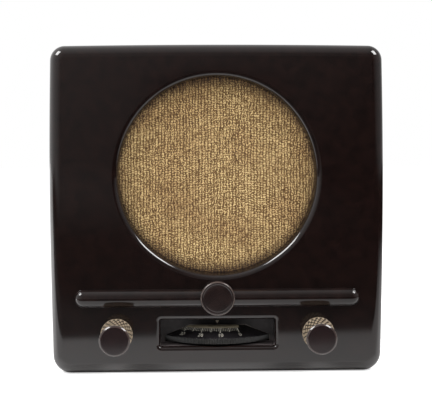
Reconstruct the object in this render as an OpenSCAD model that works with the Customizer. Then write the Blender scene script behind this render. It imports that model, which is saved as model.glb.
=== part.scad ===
// Small square mains radio of the late 1930s with a moulded cabinet and a round loudspeaker opening.
// Millimetres. Z is up and the front looks towards -Y. The cabinet stands on Z = 0 with its middle
// over the origin. Depths are measured backwards from the plane of the front face.

/* [Cabinet] */
// Width of the cabinet
cab_w = 242; // [220:1:270]
// Height of the cabinet
cab_h = 239; // [225:1:260]
// Depth of the cabinet from the front face to the open back
cab_d = 120; // [115:1:150]
// Thickness of the moulded wall
wall = 3.5; // [2.5:0.25:4.5]
// Radius of the four long edges
corner_r = 12; // [10:0.5:18]
// Radius of the edge round the front face
front_r = 7; // [3:0.5:9]
// How far the sides bulge at half height
side_bow = 1.7; // [0:0.1:4]
// How far the top rises in the middle
top_bow = 1; // [0:0.1:3]
// Thickness of the ledges that carry the chassis board
ledge_t = 5; // [3:0.5:8]
// How far the ledges stand in from the walls
ledge_w = 10; // [8:0.5:14]
// Radius of the corner bosses that hold the back cover
boss_r = 7.5; // [6.5:0.25:9]
// Length of the corner bosses
boss_len = 30; // [15:1:50]
// Number of air slots in the bottom
slot_count = 5; // [1:1:7]
// Width of an air slot
slot_w = 4; // [2:0.5:6]
// Length of an air slot
slot_len = 60; // [20:1:80]
// Distance between air slots
slot_pitch = 12; // [8:1:14]

/* [Speaker opening] */
// Distance from the top of the round opening to the cabinet's top
open_top = 21.4; // [20:0.1:26]
// Distance from the bottom of the round opening to the bar
open_gap = 9.7; // [8:0.1:12]
// Radius of the opening's rolled lip
open_lip = 5; // [2:0.5:6]
// Depth of the collar behind the opening
collar_d = 10; // [8:0.5:14]
// Thickness of the collar
collar_t = 3; // [2:0.5:4]
// Thickness of the cloth
cloth_t = 0.8; // [0.5:0.1:1.5]
// How far the cloth reaches past the collar
cloth_edge = 4.6; // [4:0.1:6]
// Thickness of the baffle board
baffle_t = 3.5; // [2.5:0.5:5]
// Distance of the baffle screws in from the board's edges
baffle_screw_in = 9; // [7:0.5:10]
// Radius of the posts that carry the baffle board
post_r = 5; // [4:0.25:6]

/* [Front trim] */
// Height of the bar and the medallion over the ground
bar_z = 54.5; // [53:0.1:58]
// Distance from the bar's ends to the cabinet's sides
bar_end = 16.8; // [14:0.1:30]
// Radius of the bar's half-round section
bar_r = 6.6; // [4:0.1:7]
// Radius of the medallion
medal_r = 12.5; // [8:0.1:12.7]
// How far the medallion stands out
medal_d = 7.4; // [7.2:0.1:10]
// Width of the medallion's rim
medal_rim_w = 1.1; // [0.6:0.1:2]
// Height of the medallion's rim
medal_rim_h = 0.5; // [0.2:0.1:1]

/* [Dial recess] */
// Distance from the tips of the wheel slot to the sides of the recess
recess_side = 2.6; // [2:0.1:6]
// Height of the recess floor over the ground
recess_z0 = 20; // [19:0.1:20.5]
// Height of the recess ceiling over the ground
recess_z1 = 39.6; // [37:0.1:39.7]
// Depth of the recess
recess_d = 17; // [14:0.5:19]
// Radius of the recess corners
recess_corner = 3; // [2:0.25:5]
// Radius of the lip round the recess
recess_lip = 2.2; // [1:0.1:2.3]
// Thickness of the recess's back
recess_back_t = 2; // [1.5:0.25:2.25]
// Gap between the wheel's rim and the tips of its slot
slot_tip_gap = 0.65; // [0.5:0.05:1.5]
// Gap between the top of the scale and the sides of the slot
slot_top_gap = 3; // [2.5:0.1:6]

/* [Tuning] */
// Radius of the thumb-wheel as a share of the cabinet's width
wheel_share = 0.2066; // [0.2:0.0001:0.208]
// How far the thumb-wheel's rim lies behind the front face
wheel_back = 0.6; // [0.3:0.1:3]
// Height of the wheel's lower edge over the ground
wheel_z = 21.2; // [21:0.1:22]
// Height of the ribbed rim
rim_h = 4.3; // [3:0.1:5]
// Height of the conical scale above the rim
scale_h = 6.8; // [5:0.1:7]
// How far the conical scale slopes in from the rim
scale_run = 11.5; // [8:0.5:14]
// Thickness of the wheel's wall
wheel_t = 2.4; // [1.6:0.1:3]
// Number of ribs round the rim
rib_count = 120; // [60:1:160]
// Depth of the ribs
rib_d = 0.5; // [0.2:0.1:0.8]
// Radius of the wheel's hub
wheel_hub_r = 8; // [6:0.5:10]
// Radius of the tuning shaft
tune_shaft_r = 3; // [2.5:0.25:3.5]
// Radius of the rotor vanes
vane_r = 17.5; // [14:0.5:18]
// Thickness of a vane
vane_t = 0.8; // [0.5:0.1:1]
// Distance from one vane to the next of the same set
vane_pitch = 4; // [3.5:0.1:5]
// Number of rotor vanes
vane_count = 3; // [2:1:4]
// Half width of the tuning capacitor's frame
tune_frame_half = 24; // [24:0.5:26]
// Thickness of the capacitor frame's plates
frame_t = 2; // [1.5:0.25:3]

/* [Knobs and shafts] */
// Distance of the knob axes from the middle as a share of the cabinet's width
knob_share = 0.3029; // [0.302:0.0001:0.309]
// Height of the knob axes over the ground
knob_z = 29.4; // [28:0.1:30]
// Radius of a knob
knob_r = 11.3; // [9:0.1:12]
// Length of a knob
knob_len = 25; // [18:0.5:28]
// Gap between a knob and the front face
knob_gap = 1; // [0.5:0.1:2]
// Number of flutes round a knob
flute_count = 44; // [24:1:60]
// Depth of the flutes
flute_d = 0.4; // [0.2:0.1:0.7]
// Radius of the knob shafts
shaft_r = 3; // [2.5:0.25:3]
// Depth to which a shaft enters its knob
knob_bore = 18; // [12:0.5:18]
// Radius of a grub screw
grub_r = 1.5; // [1:0.1:2]
// Radius of a bushing's thread
bush_r = 5; // [4.5:0.25:5.5]
// Radius of a bushing's flange
bush_flange_r = 7.5; // [7:0.25:8]
// Outer radius of the fixed coil's former
former_r = 21; // [20:0.25:21]
// Thickness of the former
former_t = 2; // [1:0.25:2.5]
// Radius of the turning coil
turn_coil_r = 14; // [11:0.25:14]
// Length of the turning coil
turn_coil_len = 12; // [8:0.5:12]
// Radius of the regeneration capacitor's rotor vanes
regen_vane_r = 14; // [12:0.5:14]
// Half width of the regeneration capacitor's plates
regen_half = 19; // [18.5:0.25:19]
// Radius of the mains switch
switch_r = 15; // [12:0.5:16]
// Length of the mains switch
switch_len = 16; // [12:0.5:18]

/* [Loudspeaker] */
// How far the basket's flange reaches past the opening
basket_edge = 2.6; // [1.5:0.1:4]
// Width of the basket's flange
basket_flange_w = 16; // [14:0.5:18]
// Thickness of the basket's steel
basket_t = 2; // [1.5:0.25:2.5]
// Depth of the basket behind its flange
basket_h = 33; // [31:0.5:36]
// Radius of the basket's rear plate
basket_back_r = 34; // [32:0.5:36]
// Width of the surround's free roll between the flange and the cone
surround_w = 6; // [4:0.5:8]
// Inner radius of the paper cone
cone_hub_r = 6; // [5:0.25:7]
// Depth of the paper cone
cone_h = 26; // [22:0.5:27]
// Thickness of the paper cone
cone_t = 0.8; // [0.6:0.1:1.2]
// Thickness of the leather surround
surround_t = 0.7; // [0.5:0.1:1]
// Thickness of the card gasket
gasket_t = 2; // [1.5:0.25:3]
// Radius of the drive pin
pin_r = 0.8; // [0.6:0.1:1]
// Thickness of the magnet from front to back
magnet_t = 12; // [12:0.5:15]
// Outer radius of the horseshoe magnet
magnet_r = 32; // [30:0.5:34]
// Width of the magnet's legs
magnet_leg = 12; // [9:0.5:13]
// Thickness of the reed
reed_t = 1; // [0.8:0.1:1.2]
// Half width of the reed
reed_half = 4; // [3:0.25:4.5]
// Distance from the drive pin up to the reed's clamp
reed_arm = 25.5; // [24:0.1:27]
// Distance from the drive pin down to the reed's tip
reed_tail = 14; // [12:0.5:15]
// Gap between the reed and a pole shoe
pole_gap = 1; // [0.9:0.05:1.2]

/* [Chassis] */
// Height of the chassis board's underside over the ground
board_z = 52; // [52:0.5:54]
// Thickness of the chassis board
board_t = 2.5; // [2:0.25:3]
// Depth at which the chassis board starts
board_d0 = 25; // [24:0.5:25]
// Distance from the chassis board's rear edge to the cabinet's open back
board_rear = 11; // [11:0.5:14]
// Thickness of the front bracket
bracket_t = 1.5; // [1:0.25:2]
// Radius of the screws through the chassis board and the cabinet
screw_r = 1.6; // [1.4:0.1:1.8]
// Radius of the screws' heads
head_r = 3.2; // [2.8:0.1:3.6]
// Height of the screws' heads
head_h = 1.8; // [1.2:0.1:2.4]

/* [Valves and parts] */
// Distance of the main valve in from the chassis screws
main_valve_in = 33.8; // [30:0.1:36]
// Gap between the valves and the back cover
valve_rear = 5; // [4:0.5:7]
// Radius of the main valve's bulb
main_bulb_r = 21; // [18:0.5:22]
// Height of the main valve's bulb
main_bulb_h = 74; // [50:1:90]
// Distance of the rectifier valve in from the chassis screws
rect_valve_in = 23.8; // [20:0.1:28]
// Radius of the rectifier valve's bulb
rect_bulb_r = 14; // [12:0.5:16]
// Height of the rectifier valve's bulb
rect_bulb_h = 50; // [30:1:70]
// Height of a valve socket
socket_h = 6; // [4:0.5:8]
// Height of a valve base
base_h = 15; // [10:0.5:20]
// Width of the filter capacitor block
block_w = 42; // [30:1:44]
// Depth of the filter capacitor block
block_d = 30; // [20:1:32]
// Height of the filter capacitor block
block_h = 38; // [25:1:42]
// Radius of the mains dropping resistor
dropper_r = 7; // [5:0.5:8]
// Length of the mains dropping resistor
dropper_len = 60; // [40:1:64]
// Radius of a small tubular capacitor
tube_cap_r = 5; // [3:0.5:6]
// Length of a small tubular capacitor
tube_cap_len = 30; // [20:1:32]
// Radius of the plugs of the aerial and the earth
plug_r = 2; // [1.5:0.25:2.5]
// Depth of the sockets for those plugs
plug_depth = 14; // [10:0.5:16]
// Distance between the aerial and earth sockets
plug_pitch = 19; // [15:0.5:20]
// Radius of the loudspeaker leads
lead_r = 0.9; // [0.6:0.1:1.2]

/* [Back cover] */
// Thickness of the back cover
cover_t = 2.5; // [2:0.25:3]
// How far the cover lies inside the cabinet's rear edge
cover_inset = 2.5; // [1:0.25:4]
// Radius of a vent hole
vent_r = 3; // [2:0.25:3.5]
// Distance between vent holes
vent_pitch = 10; // [9:0.5:12]
// Number of vent holes in a row
vent_cols = 15; // [5:1:17]
// Number of rows of vent holes
vent_rows = 7; // [2:1:8]
// How deep the cover's screws enter the corner bosses
cover_grip = 10; // [6:0.5:11]
// Radius of the mains cord inlet in the grommet
inlet_r = 3.6; // [2.5:0.1:4.5]

/* [Fits] */
// Radial clearance of a shaft that turns in its bearing
run_gap = 0.05; // [0.02:0.01:0.09]
// Radial clearance of a piece fixed on its shaft or in its hole
fix_gap = 0.05; // [0.02:0.01:0.2]
// Clearance round pieces that are laid or screwed in place
lay_gap = 0.4; // [0.2:0.05:0.6]
// Gap between a moving piece and its seat
move_gap = 0.4; // [0.3:0.05:0.6]

/* [Hidden] */

$fn = 64;
round_fn = 96;
front_y = -cab_d / 2;
corner_steps = 6;
side_steps = 6;
round_steps = 5;
lip_steps = 8;
back_r = 1;
lead_in = 0.05;
trim_sink = 0.3;
over = 1;

// The round opening lies between the bar and the top of the cabinet
open_z0 = bar_z + bar_r + open_gap;
open_r = (cab_h - open_top - open_z0) / 2;
open_z = open_z0 + open_r;
bar_half = cab_w / 2 - bar_end;

// Depths and radii of the stack behind the opening, from front to back
cloth_d = collar_d;
baffle_d = cloth_d + cloth_t;
gasket_d = baffle_d + baffle_t;
surround_d = gasket_d + gasket_t;
flange_d = surround_d + surround_t;
basket_d = flange_d + basket_t;
rear_plate_d = flange_d + basket_h;
motor_d = rear_plate_d + basket_t;
magnet_d = motor_d + basket_t;
magnet_d1 = magnet_d + magnet_t;
reed_d = magnet_d + magnet_t / 2 - reed_t / 2;
hub_d = surround_d + cone_h;
cloth_r = open_r + collar_t + cloth_edge;
baffle_half = cloth_r;
baffle_corner = 8;
baffle_screw_off = baffle_half - baffle_screw_in;
basket_r = open_r + basket_edge;
basket_in_r = basket_r - basket_flange_w;
cone_r = basket_in_r - surround_w;
baffle_hole_r = basket_in_r + 6;
speaker_screw_ring = (baffle_hole_r + basket_r) / 2;
basket_hole_r = cone_hub_r + 4;
basket_window = 17;
plate_corner = 6;
plate_below = 12;
plate_above = 14;
shoe_h = 8;
magnet_drop = 6;
magnet_leg_h = 16;
coil_up = 6;
coil_h = 16;
coil_half = 11;
coil_flange_half = 13;
coil_flange_t = 1.5;
clamp_half = 9;
clamp_h = 11;
hub_len = 5;

// Sizes of the tuning parts and their heights
wheel_r = wheel_share * cab_w;
wheel_axis_d = wheel_r + wheel_back;
wheel_y = front_y + wheel_axis_d;
scale_r = wheel_r - scale_run;
slot_d = wheel_axis_d - recess_d - recess_back_t;
slot_tip_half = sqrt(wheel_r * wheel_r - slot_d * slot_d) + slot_tip_gap;
slot_top_half = sqrt(scale_r * scale_r - slot_d * slot_d) + slot_top_gap;
recess_half = slot_tip_half + recess_side;
board_top = board_z + board_t;
rim_z = wheel_z + rim_h;
scale_z = rim_z + scale_h;
hub_rise = 4;
hub_drop = 6;
hub_z1 = scale_z + hub_rise;
hub_z0 = scale_z - hub_drop;
cam_z = hub_z1 + 3;
cam_h = 5;
cam_r = 8;
cam_step = 1.5;
bush_flange_t = 2;
bush_rise = 5;
bush_z1 = board_top + bush_rise;
vane_rise = 4;
vane_z = bush_z1 + vane_rise;
tune_top_z = vane_z + vane_count * vane_pitch + vane_rise;
tune_post_r = 2.5;
post_off = tune_frame_half - 4;
stator_r = vane_r + 5;
stator_post_r = 1.5;
stator_angles = [50, 130];
rotor_hub_r = tune_shaft_r + 2;
contact_w = 6;
contact_t = 0.6;

// Depths along the knob shafts
knob_x = knob_share * cab_w;
knob_d0 = -knob_gap - knob_len;
shaft_d0 = -knob_gap - knob_bore + 1;
knob_step = 0.1;
knob_cap_len = 4.5;
grub_d = 8;
grub_len = 5;
grub_slot = 0.6;
bracket_d = board_d0 + 1;
bracket_half = 14;
bracket_foot = 9.5;
bracket_screw_off = 8;
bracket_screw_d = bracket_d + bracket_foot - 4;
nut_t = 3;
nut_edge = 3.2;
nut_d = bracket_d - nut_t;
bush_d0 = nut_d - 2;
regen_plate_d = bracket_d + bracket_t;
regen_bush_d1 = regen_plate_d + frame_t;
coupling_bush_d1 = bracket_d + bracket_t;
regen_vane_d = regen_bush_d1 + bush_flange_t + 2;
regen_rear_d = regen_vane_d + vane_count * vane_pitch + 3;
regen_post_r = 1.8;
regen_stator_edge = 3.4;
switch_d = regen_rear_d + frame_t;
former_d = 62;
former_z0 = 7;
former_flange_t = 2;
former_flange_w = 4;
winding_t = 1.5;
winding_h = 12;
winding_gap = 6;
coil_rim_t = 1.5;
coil_groove = 1.2;
coupling_end_d = former_d + former_r + 3;

// Places on the chassis board
board_d1 = cab_d - board_rear;
cover_d = cab_d - cover_inset - cover_t;
chassis_screw_x = cab_w / 2 - wall - ledge_w / 2 - side_bow - 1;
chassis_screw_front = 12;
chassis_screw_back = 10;
main_valve_x = chassis_screw_x - main_valve_in;
main_valve_d = cover_d - valve_rear - main_bulb_r;
rect_valve_x = chassis_screw_x - rect_valve_in;
rect_valve_d = cover_d - valve_rear - rect_bulb_r;
block_d0 = bracket_screw_d + head_r + 2 * lay_gap;
block_gap = 5.6;
block_x = chassis_screw_x - head_r - block_gap - block_w / 2;
tube_cap_x = main_valve_x - 4;
tube_cap_d = block_d0 + tube_cap_r;
tube_cap_pitch = 2 * tube_cap_r + 1;
rear_shelf_d = board_d1 + 1.5;
strip_t = 2;
strip_z = 66;
strip_h = 18;
strip_x = 25;
strip_w = 3 * plug_pitch + 6;
strip_foot_w = 8;
strip_foot_len = 6;
sleeve_r = plug_r + 1.2;
sleeve_rim_w = 1.6;
sleeve_rim_t = 1.5;
plug_clear = 0.1;

// The leads run down behind the tuning capacitor, and the dropping resistor lies behind them
lead_x = 7;
lead_up = 12;
lead_drop = 40;
lead_start = 2;
lead_d0 = magnet_d1 + lay_gap / 4;
lead_d = wheel_axis_d + tune_frame_half + 2.5;
lead_bend = lead_d - lead_d0 - lead_start;
clip_t = 1;
clip_w = 6;
clip_in = 4;
clip_foot = 5;
dropper_wall = 2.5;
dropper_d = lead_d + lead_r + 2 + dropper_r + clip_t;
dropper_z = strip_z + sleeve_r + sleeve_rim_w + clip_t + dropper_r + 0.6;

// Back cover
boss_x = cab_w / 2 - wall - boss_r - 0.6;
boss_z0 = wall + boss_r - 0.6;
boss_z1 = cab_h - wall - boss_r + 0.2;
boss_bore = 12;
vent_rise = 3;
inlet_x = -62;
inlet_z = 20;
grommet_r = inlet_r + 2.4;
grommet_lip = 1.8;
grommet_t = 2;

// Points of a rectangle with rounded corners, counterclockwise as the viewer in front sees it.
// Each side is cut into a number of equal steps.
function arc_points(cx, cz, r, a0) =
  [for (i = [0:corner_steps]) let (a = a0 + 90 * i / corner_steps) [cx + r * cos(a), cz + r * sin(a)]];
function between(p, q, steps) =
  steps > 1 ? [for (i = [1:steps - 1]) p + (q - p) * i / steps] : [];
function round_rect(half, z0, z1, r, steps = 1) =
  let (
    a = arc_points(half - r, z1 - r, r, 0),
    b = arc_points(-half + r, z1 - r, r, 90),
    c = arc_points(-half + r, z0 + r, r, 180),
    d = arc_points(half - r, z0 + r, r, 270)
  )
  concat(a, between(a[corner_steps], b[0], steps), b, between(b[corner_steps], c[0], steps),
         c, between(c[corner_steps], d[0], steps), d, between(d[corner_steps], a[0], steps));

// The cabinet's outline, drawn in by a margin: the sides bulge and the top is crowned
function bowed(p) =
  let (u = 2 * p[1] / cab_h - 1, v = 2 * p[0] / cab_w)
  [p[0] * (1 - 2 * side_bow / cab_w * u * u), p[1] * (1 - top_bow / cab_h * v * v)];
function cabinet_outline(margin) =
  [for (p = round_rect(cab_w / 2 - margin, margin, cab_h - margin, corner_r - margin, side_steps)) bowed(p)];

// One ring of points at a depth behind the front face
function ring_at(points, d) = [for (p = points) [p[0], front_y + d, p[1]]];

// A closed skin over rings of equal length that follow each other from front to back
module skin(rings) {
  n = len(rings[0]);
  last = (len(rings) - 1) * n;
  points = [for (r = rings) each r];
  sides = [for (k = [0:len(rings) - 2]) for (i = [0:n - 1]) let (j = (i + 1) % n)
    [k * n + i, k * n + j, (k + 1) * n + j, (k + 1) * n + i]];
  polyhedron(points, concat([[for (i = [n - 1:-1:0]) i]], sides, [[for (i = [0:n - 1]) last + i]]));
}

// A slab between two depths, drawn in width and height
module slab(d0, d1) {
  translate([0, front_y + d1, 0]) rotate([90, 0, 0]) linear_extrude(d1 - d0) children();
}

// Puts a turned shape's axis along the depth at a given place
module on_axis(x, z) {
  translate([x, front_y, z]) rotate([-90, 0, 0]) children();
}

// A rod or a hole along the depth
module rod(x, z, r, d0, d1) {
  on_axis(x, z) translate([0, 0, d0]) cylinder(r = r, h = d1 - d0);
}

// A washer or a sleeve along the depth
module sleeve(x, z, r, hole, d0, d1) {
  on_axis(x, z) translate([0, 0, d0]) tube(r, hole, d1 - d0);
}

// A tube standing on the plane of its own origin
module tube(r, hole, h) {
  difference() {
    cylinder(r = r, h = h);
    translate([0, 0, -over]) cylinder(r = hole, h = h + 2 * over);
  }
}

// A half disc with a hub hole for the vanes of a capacitor
module half_disc(r, hole, t) {
  difference() {
    cylinder(r = r, h = t);
    translate([-r - over, -2 * r, -over]) cube([2 * (r + over), 2 * r, t + 2 * over]);
    translate([0, 0, -over]) cylinder(r = hole, h = t + 2 * over);
  }
}

// Copies at the four places that are mirrored across both axes
module four(x, y) {
  for (sx = [-1, 1]) for (sy = [-1, 1]) translate([sx * x, sy * y, 0]) children();
}

// Places of the corner bosses of the back cover
module at_bosses() {
  for (sx = [-1, 1]) for (z = [boss_z0, boss_z1]) translate([sx * boss_x, 0, z]) children();
}

// The rounding round a face as steps of [how far in, how deep], with a first step in front of the face
function rounding(r) =
  let (
    steps = [for (i = [1:round_steps]) let (a = 90 * i / round_steps) [r * (1 - sin(a)), r * (1 - cos(a))]],
    slope = (r - steps[0][0]) / steps[0][1]
  )
  concat([[r + slope * lead_in, -lead_in]], steps);

module outer_skin() {
  edge = [for (p = rounding(front_r)) ring_at(cabinet_outline(p[0]), p[1])];
  rear = [for (p = rounding(back_r)) ring_at(cabinet_outline(p[0]), cab_d - p[1])];
  intersection() {
    skin(concat(edge, [for (i = [len(rear) - 1:-1:0]) rear[i]]));
    slab(0, cab_d) translate([-cab_w, -over]) square([2 * cab_w, cab_h + 2 * over]);
  }
}

module bar_body() {
  straight = bar_half - bar_r;
  points = concat([[0, -bar_half]],
    [for (i = [1:lip_steps]) let (a = -90 + 90 * i / lip_steps) [bar_r * cos(a), -straight + bar_r * sin(a)]],
    [for (i = [0:lip_steps - 1]) let (a = 90 * i / lip_steps) [bar_r * cos(a), straight + bar_r * sin(a)]],
    [[0, bar_half]]);
  intersection() {
    translate([0, front_y + trim_sink, bar_z]) rotate([0, 90, 0]) rotate_extrude() polygon(points);
    slab(-2 * bar_r, wall / 2) translate([-cab_w / 2, bar_z - 2 * bar_r]) square([cab_w, 4 * bar_r]);
  }
}

module medallion_body() {
  top = -medal_d;
  bevel = 0.4;
  root = wall / 2 - trim_sink;
  on_axis(0, bar_z) rotate_extrude() polygon([
    [0, top], [medal_r - medal_rim_w, top], [medal_r - medal_rim_w, top - medal_rim_h],
    [medal_r - bevel, top - medal_rim_h], [medal_r, top - medal_rim_h + bevel], [medal_r, root], [0, root]]);
}

module opening_cut() {
  lip = [for (i = [0:lip_steps]) let (a = 90 * i / lip_steps)
    [open_r + open_lip * (1 - sin(a)), lead_in + open_lip * (1 - cos(a))]];
  on_axis(0, open_z) rotate_extrude($fn = round_fn) polygon(concat(
    [[0, -over], [open_r + open_lip, -over]], lip, [[open_r, collar_d + over], [0, collar_d + over]]));
}

module recess_cut() {
  rings = [for (p = rounding(recess_lip))
    ring_at(round_rect(recess_half + p[0], recess_z0 - p[0], recess_z1 + p[0], recess_corner + p[0]), p[1])];
  back = [for (p = rings[round_steps]) [p[0], front_y + recess_d + over, p[2]]];
  intersection() {
    skin(concat(rings, [back]));
    slab(-over, recess_d) translate([-cab_w / 2, 0]) square([cab_w, cab_h]);
  }
}

// The slot follows the wheel: upright beside the rim, slanting along the cone, level at the top
module wheel_slot() {
  z0 = wheel_z - 2 * move_gap;
  z1 = rim_z + 1.5 * move_gap;
  z2 = scale_z + 2 * move_gap;
  slab(recess_d - over, recess_d + recess_back_t + over) polygon([
    [-slot_tip_half, z0], [slot_tip_half, z0], [slot_tip_half, z1],
    [slot_top_half, z2], [-slot_top_half, z2], [-slot_tip_half, z1]]);
}

module chassis_screw_places() {
  for (sx = [-1, 1]) for (d = [board_d0 + chassis_screw_front, board_d1 - chassis_screw_back])
    translate([sx * chassis_screw_x, front_y + d, 0]) children();
}

module baffle_screw_places() {
  for (sx = [-1, 1]) for (sz = [-1, 1])
    translate([sx * baffle_screw_off, 0, open_z + sz * baffle_screw_off]) children();
}

module cabinet() {
  color("#2a1c1b") {
    bar_body();
    medallion_body();
    cabinet_shell();
  }
}

// The ledges that carry the chassis board
module ledges() {
  x = cab_w / 2 - wall - ledge_w / 2;
  for (sx = [-1, 1]) translate([sx * x, front_y + (board_d0 + board_d1) / 2, board_z - ledge_t / 2])
    cube([ledge_w + 2 * wall, board_d1 - board_d0, ledge_t], center = true);
}

module recess_housing() {
  slab(wall - over, recess_d + recess_back_t)
    polygon(round_rect(recess_half + wall, recess_z0 - wall + 0.5, recess_z1 + wall, recess_corner + wall));
}

module cabinet_shell() {
  difference() {
    union() {
      difference() {
        outer_skin();
        slab(wall, cab_d + over) polygon(cabinet_outline(wall));
      }
      sleeve(0, open_z, open_r + collar_t, open_r - over, wall - over, collar_d);
      recess_housing();
      baffle_screw_places() rod(0, 0, post_r, wall - over, baffle_d);
      intersection() {
        slab(wall - over, cab_d) polygon(cabinet_outline(wall / 2));
        union() {
          ledges();
          at_bosses() rod(0, 0, boss_r, cover_d - boss_len, cover_d);
        }
      }
    }
    opening_cut();
    recess_cut();
    wheel_slot();
    for (sx = [-1, 1]) rod(sx * knob_x, knob_z, shaft_r + 1.5, -over, wall + over);
    baffle_screw_places() rod(0, 0, screw_r + fix_gap, wall, baffle_d + over);
    at_bosses() rod(0, 0, screw_r + fix_gap, cover_d - boss_bore, cover_d + over);
    chassis_screw_places() translate([0, 0, board_z - ledge_t - over])
      cylinder(r = screw_r + fix_gap, h = ledge_t + 2 * over);
    for (i = [0:slot_count - 1]) translate([0, front_y + 40 + i * slot_pitch, wall / 2])
      cube([slot_len, slot_w, wall + 2 * over], center = true);
  }
}

module speaker_cloth() {
  color("#a08558") rod(0, open_z, cloth_r, cloth_d, baffle_d);
}

module baffle_board() {
  color("#6b4f34") difference() {
    slab(baffle_d, gasket_d)
      polygon(round_rect(baffle_half, open_z - baffle_half, open_z + baffle_half, baffle_corner));
    rod(0, open_z, baffle_hole_r, baffle_d - over, gasket_d + over);
    baffle_screw_places() rod(0, 0, screw_r + fix_gap, baffle_d - over, gasket_d + over);
    speaker_screw_holes(baffle_d - over, gasket_d + over);
  }
}

// A pan-head screw along the depth: its head's seat is at the first depth and its tip at the second
module depth_screw(x, z, seat, tip) {
  rod(x, z, screw_r, tip, seat);
  rod(x, z, head_r, seat, seat + head_h);
}

module baffle_screws() {
  color("#8a8478") baffle_screw_places() depth_screw(0, 0, gasket_d, wall + over);
}

module speaker_screw_holes(d0, d1) {
  for (a = [45:90:315])
    rod(speaker_screw_ring * cos(a), open_z + speaker_screw_ring * sin(a), screw_r + fix_gap, d0, d1);
}

module speaker_screws() {
  color("#8a8478") for (a = [45:90:315])
    depth_screw(speaker_screw_ring * cos(a), open_z + speaker_screw_ring * sin(a), basket_d, baffle_d + 0.5);
}

module card_gasket() {
  color("#5a4a3a") difference() {
    sleeve(0, open_z, basket_r, basket_in_r, gasket_d, surround_d);
    speaker_screw_holes(gasket_d - over, surround_d + over);
  }
}

module cone_surround() {
  color("#7a5a3c") difference() {
    sleeve(0, open_z, basket_r, cone_r + move_gap, surround_d, flange_d);
    speaker_screw_holes(surround_d - over, flange_d + over);
  }
}

module speaker_basket() {
  color("#5e5a54") difference() {
    on_axis(0, open_z) rotate_extrude() polygon([
      [basket_in_r, flange_d], [basket_r, flange_d], [basket_r, basket_d],
      [basket_in_r + basket_t + 1, basket_d], [basket_back_r, motor_d], [0, motor_d], [0, rear_plate_d],
      [basket_back_r - basket_t, rear_plate_d], [basket_in_r - 1, basket_d], [basket_in_r, basket_d - 0.5]]);
    rod(0, open_z, basket_hole_r, rear_plate_d - over, motor_d + over);
    speaker_screw_holes(flange_d - over, basket_d + over);
    for (a = [0:90:270]) on_axis(0, open_z) rotate([0, 0, a])
      translate([basket_back_r + 1, -basket_window, basket_d + 2])
        cube([basket_r, 2 * basket_window, rear_plate_d - basket_d - 3]);
  }
}

module speaker_cone() {
  neck_r = cone_hub_r - 2;
  seat_r = cone_r - 2;
  color("#c9b48c") on_axis(0, open_z) rotate_extrude($fn = round_fn) polygon([
    [cone_r, surround_d], [cone_r, flange_d], [cone_r - 1, flange_d + cone_t],
    [cone_hub_r, hub_d + cone_t], [neck_r, hub_d + cone_t], [neck_r, hub_d],
    [cone_hub_r - cone_t / 2, hub_d], [seat_r, flange_d], [seat_r, surround_d]]);
}

module cone_hub() {
  neck_r = cone_hub_r - 2 - fix_gap;
  color("#b59a55") difference() {
    union() {
      rod(0, open_z, cone_hub_r - 1, hub_d - 2, hub_d);
      rod(0, open_z, neck_r, hub_d - 1, hub_d + cone_t);
      rod(0, open_z, neck_r - 0.6, hub_d, hub_d + cone_t + hub_len);
    }
    rod(0, open_z, pin_r + fix_gap, hub_d - 2 - over, hub_d + cone_t + hub_len + over);
  }
}

module drive_pin() {
  color("#b8b4ac") rod(0, open_z, pin_r, hub_d - 2, reed_d + reed_t + 3);
}

module motor_plate() {
  z0 = open_z - magnet_r - plate_below;
  z1 = open_z + reed_arm + plate_above;
  color("#a59463") difference() {
    slab(motor_d, magnet_d) polygon(round_rect(basket_back_r - 1, z0, z1, plate_corner));
    rod(0, open_z, cone_hub_r + 1, motor_d - over, magnet_d + over);
  }
}

module speaker_magnet() {
  bend_z = open_z - reed_tail - magnet_drop;
  reach = magnet_r - magnet_leg;
  color("#3b3f45") slab(magnet_d, magnet_d1) {
    translate([0, bend_z]) difference() {
      circle(r = magnet_r);
      circle(r = reach);
      translate([-magnet_r - over, 0]) square([2 * (magnet_r + over), magnet_r + over]);
    }
    for (x = [-magnet_r, reach]) translate([x, bend_z]) square([magnet_leg, magnet_leg_h]);
  }
}

module pole_shoes() {
  reach = magnet_r - magnet_leg;
  z0 = open_z - reed_tail;
  front_t = reed_d - pole_gap - magnet_d;
  rear_d = reed_d + reed_t + pole_gap;
  color("#7d7a74") {
    translate([-reach, front_y + magnet_d, z0]) cube([reach + reed_half, front_t, shoe_h]);
    translate([-reed_half, front_y + rear_d, z0]) cube([reach + reed_half, magnet_d1 - rear_d, shoe_h]);
  }
}

module speaker_coil() {
  z0 = open_z + coil_up;
  slot = reed_t / 2 + 3 * move_gap;
  mid = reed_d + reed_t / 2;
  color("#8c3a22") difference() {
    union() {
      slab(magnet_d, magnet_d1) polygon(round_rect(coil_half, z0, z0 + coil_h, 2));
      for (z = [z0, z0 + coil_h - coil_flange_t]) slab(magnet_d, magnet_d1 + 1)
        polygon(round_rect(coil_flange_half, z, z + coil_flange_t, 0.5));
    }
    slab(mid - slot, mid + slot)
      polygon(round_rect(reed_half + 2 * move_gap, z0 - over, z0 + coil_h + over, 0.5));
  }
}

module armature_reed() {
  color("#8d9095") difference() {
    slab(reed_d, reed_d + reed_t)
      polygon(round_rect(reed_half, open_z - reed_tail, open_z + reed_arm, 0.8));
    rod(0, open_z, pin_r + 2 * fix_gap, reed_d - over, reed_d + reed_t + over);
  }
}

module reed_clamp() {
  z0 = open_z + reed_arm + move_gap;
  color("#77726a") difference() {
    slab(magnet_d, magnet_d1) polygon(round_rect(clamp_half, z0, z0 + clamp_h, 1));
    rod(0, z0 + clamp_h / 2, screw_r, magnet_d + magnet_t / 3, magnet_d1 + over);
  }
}

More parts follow.
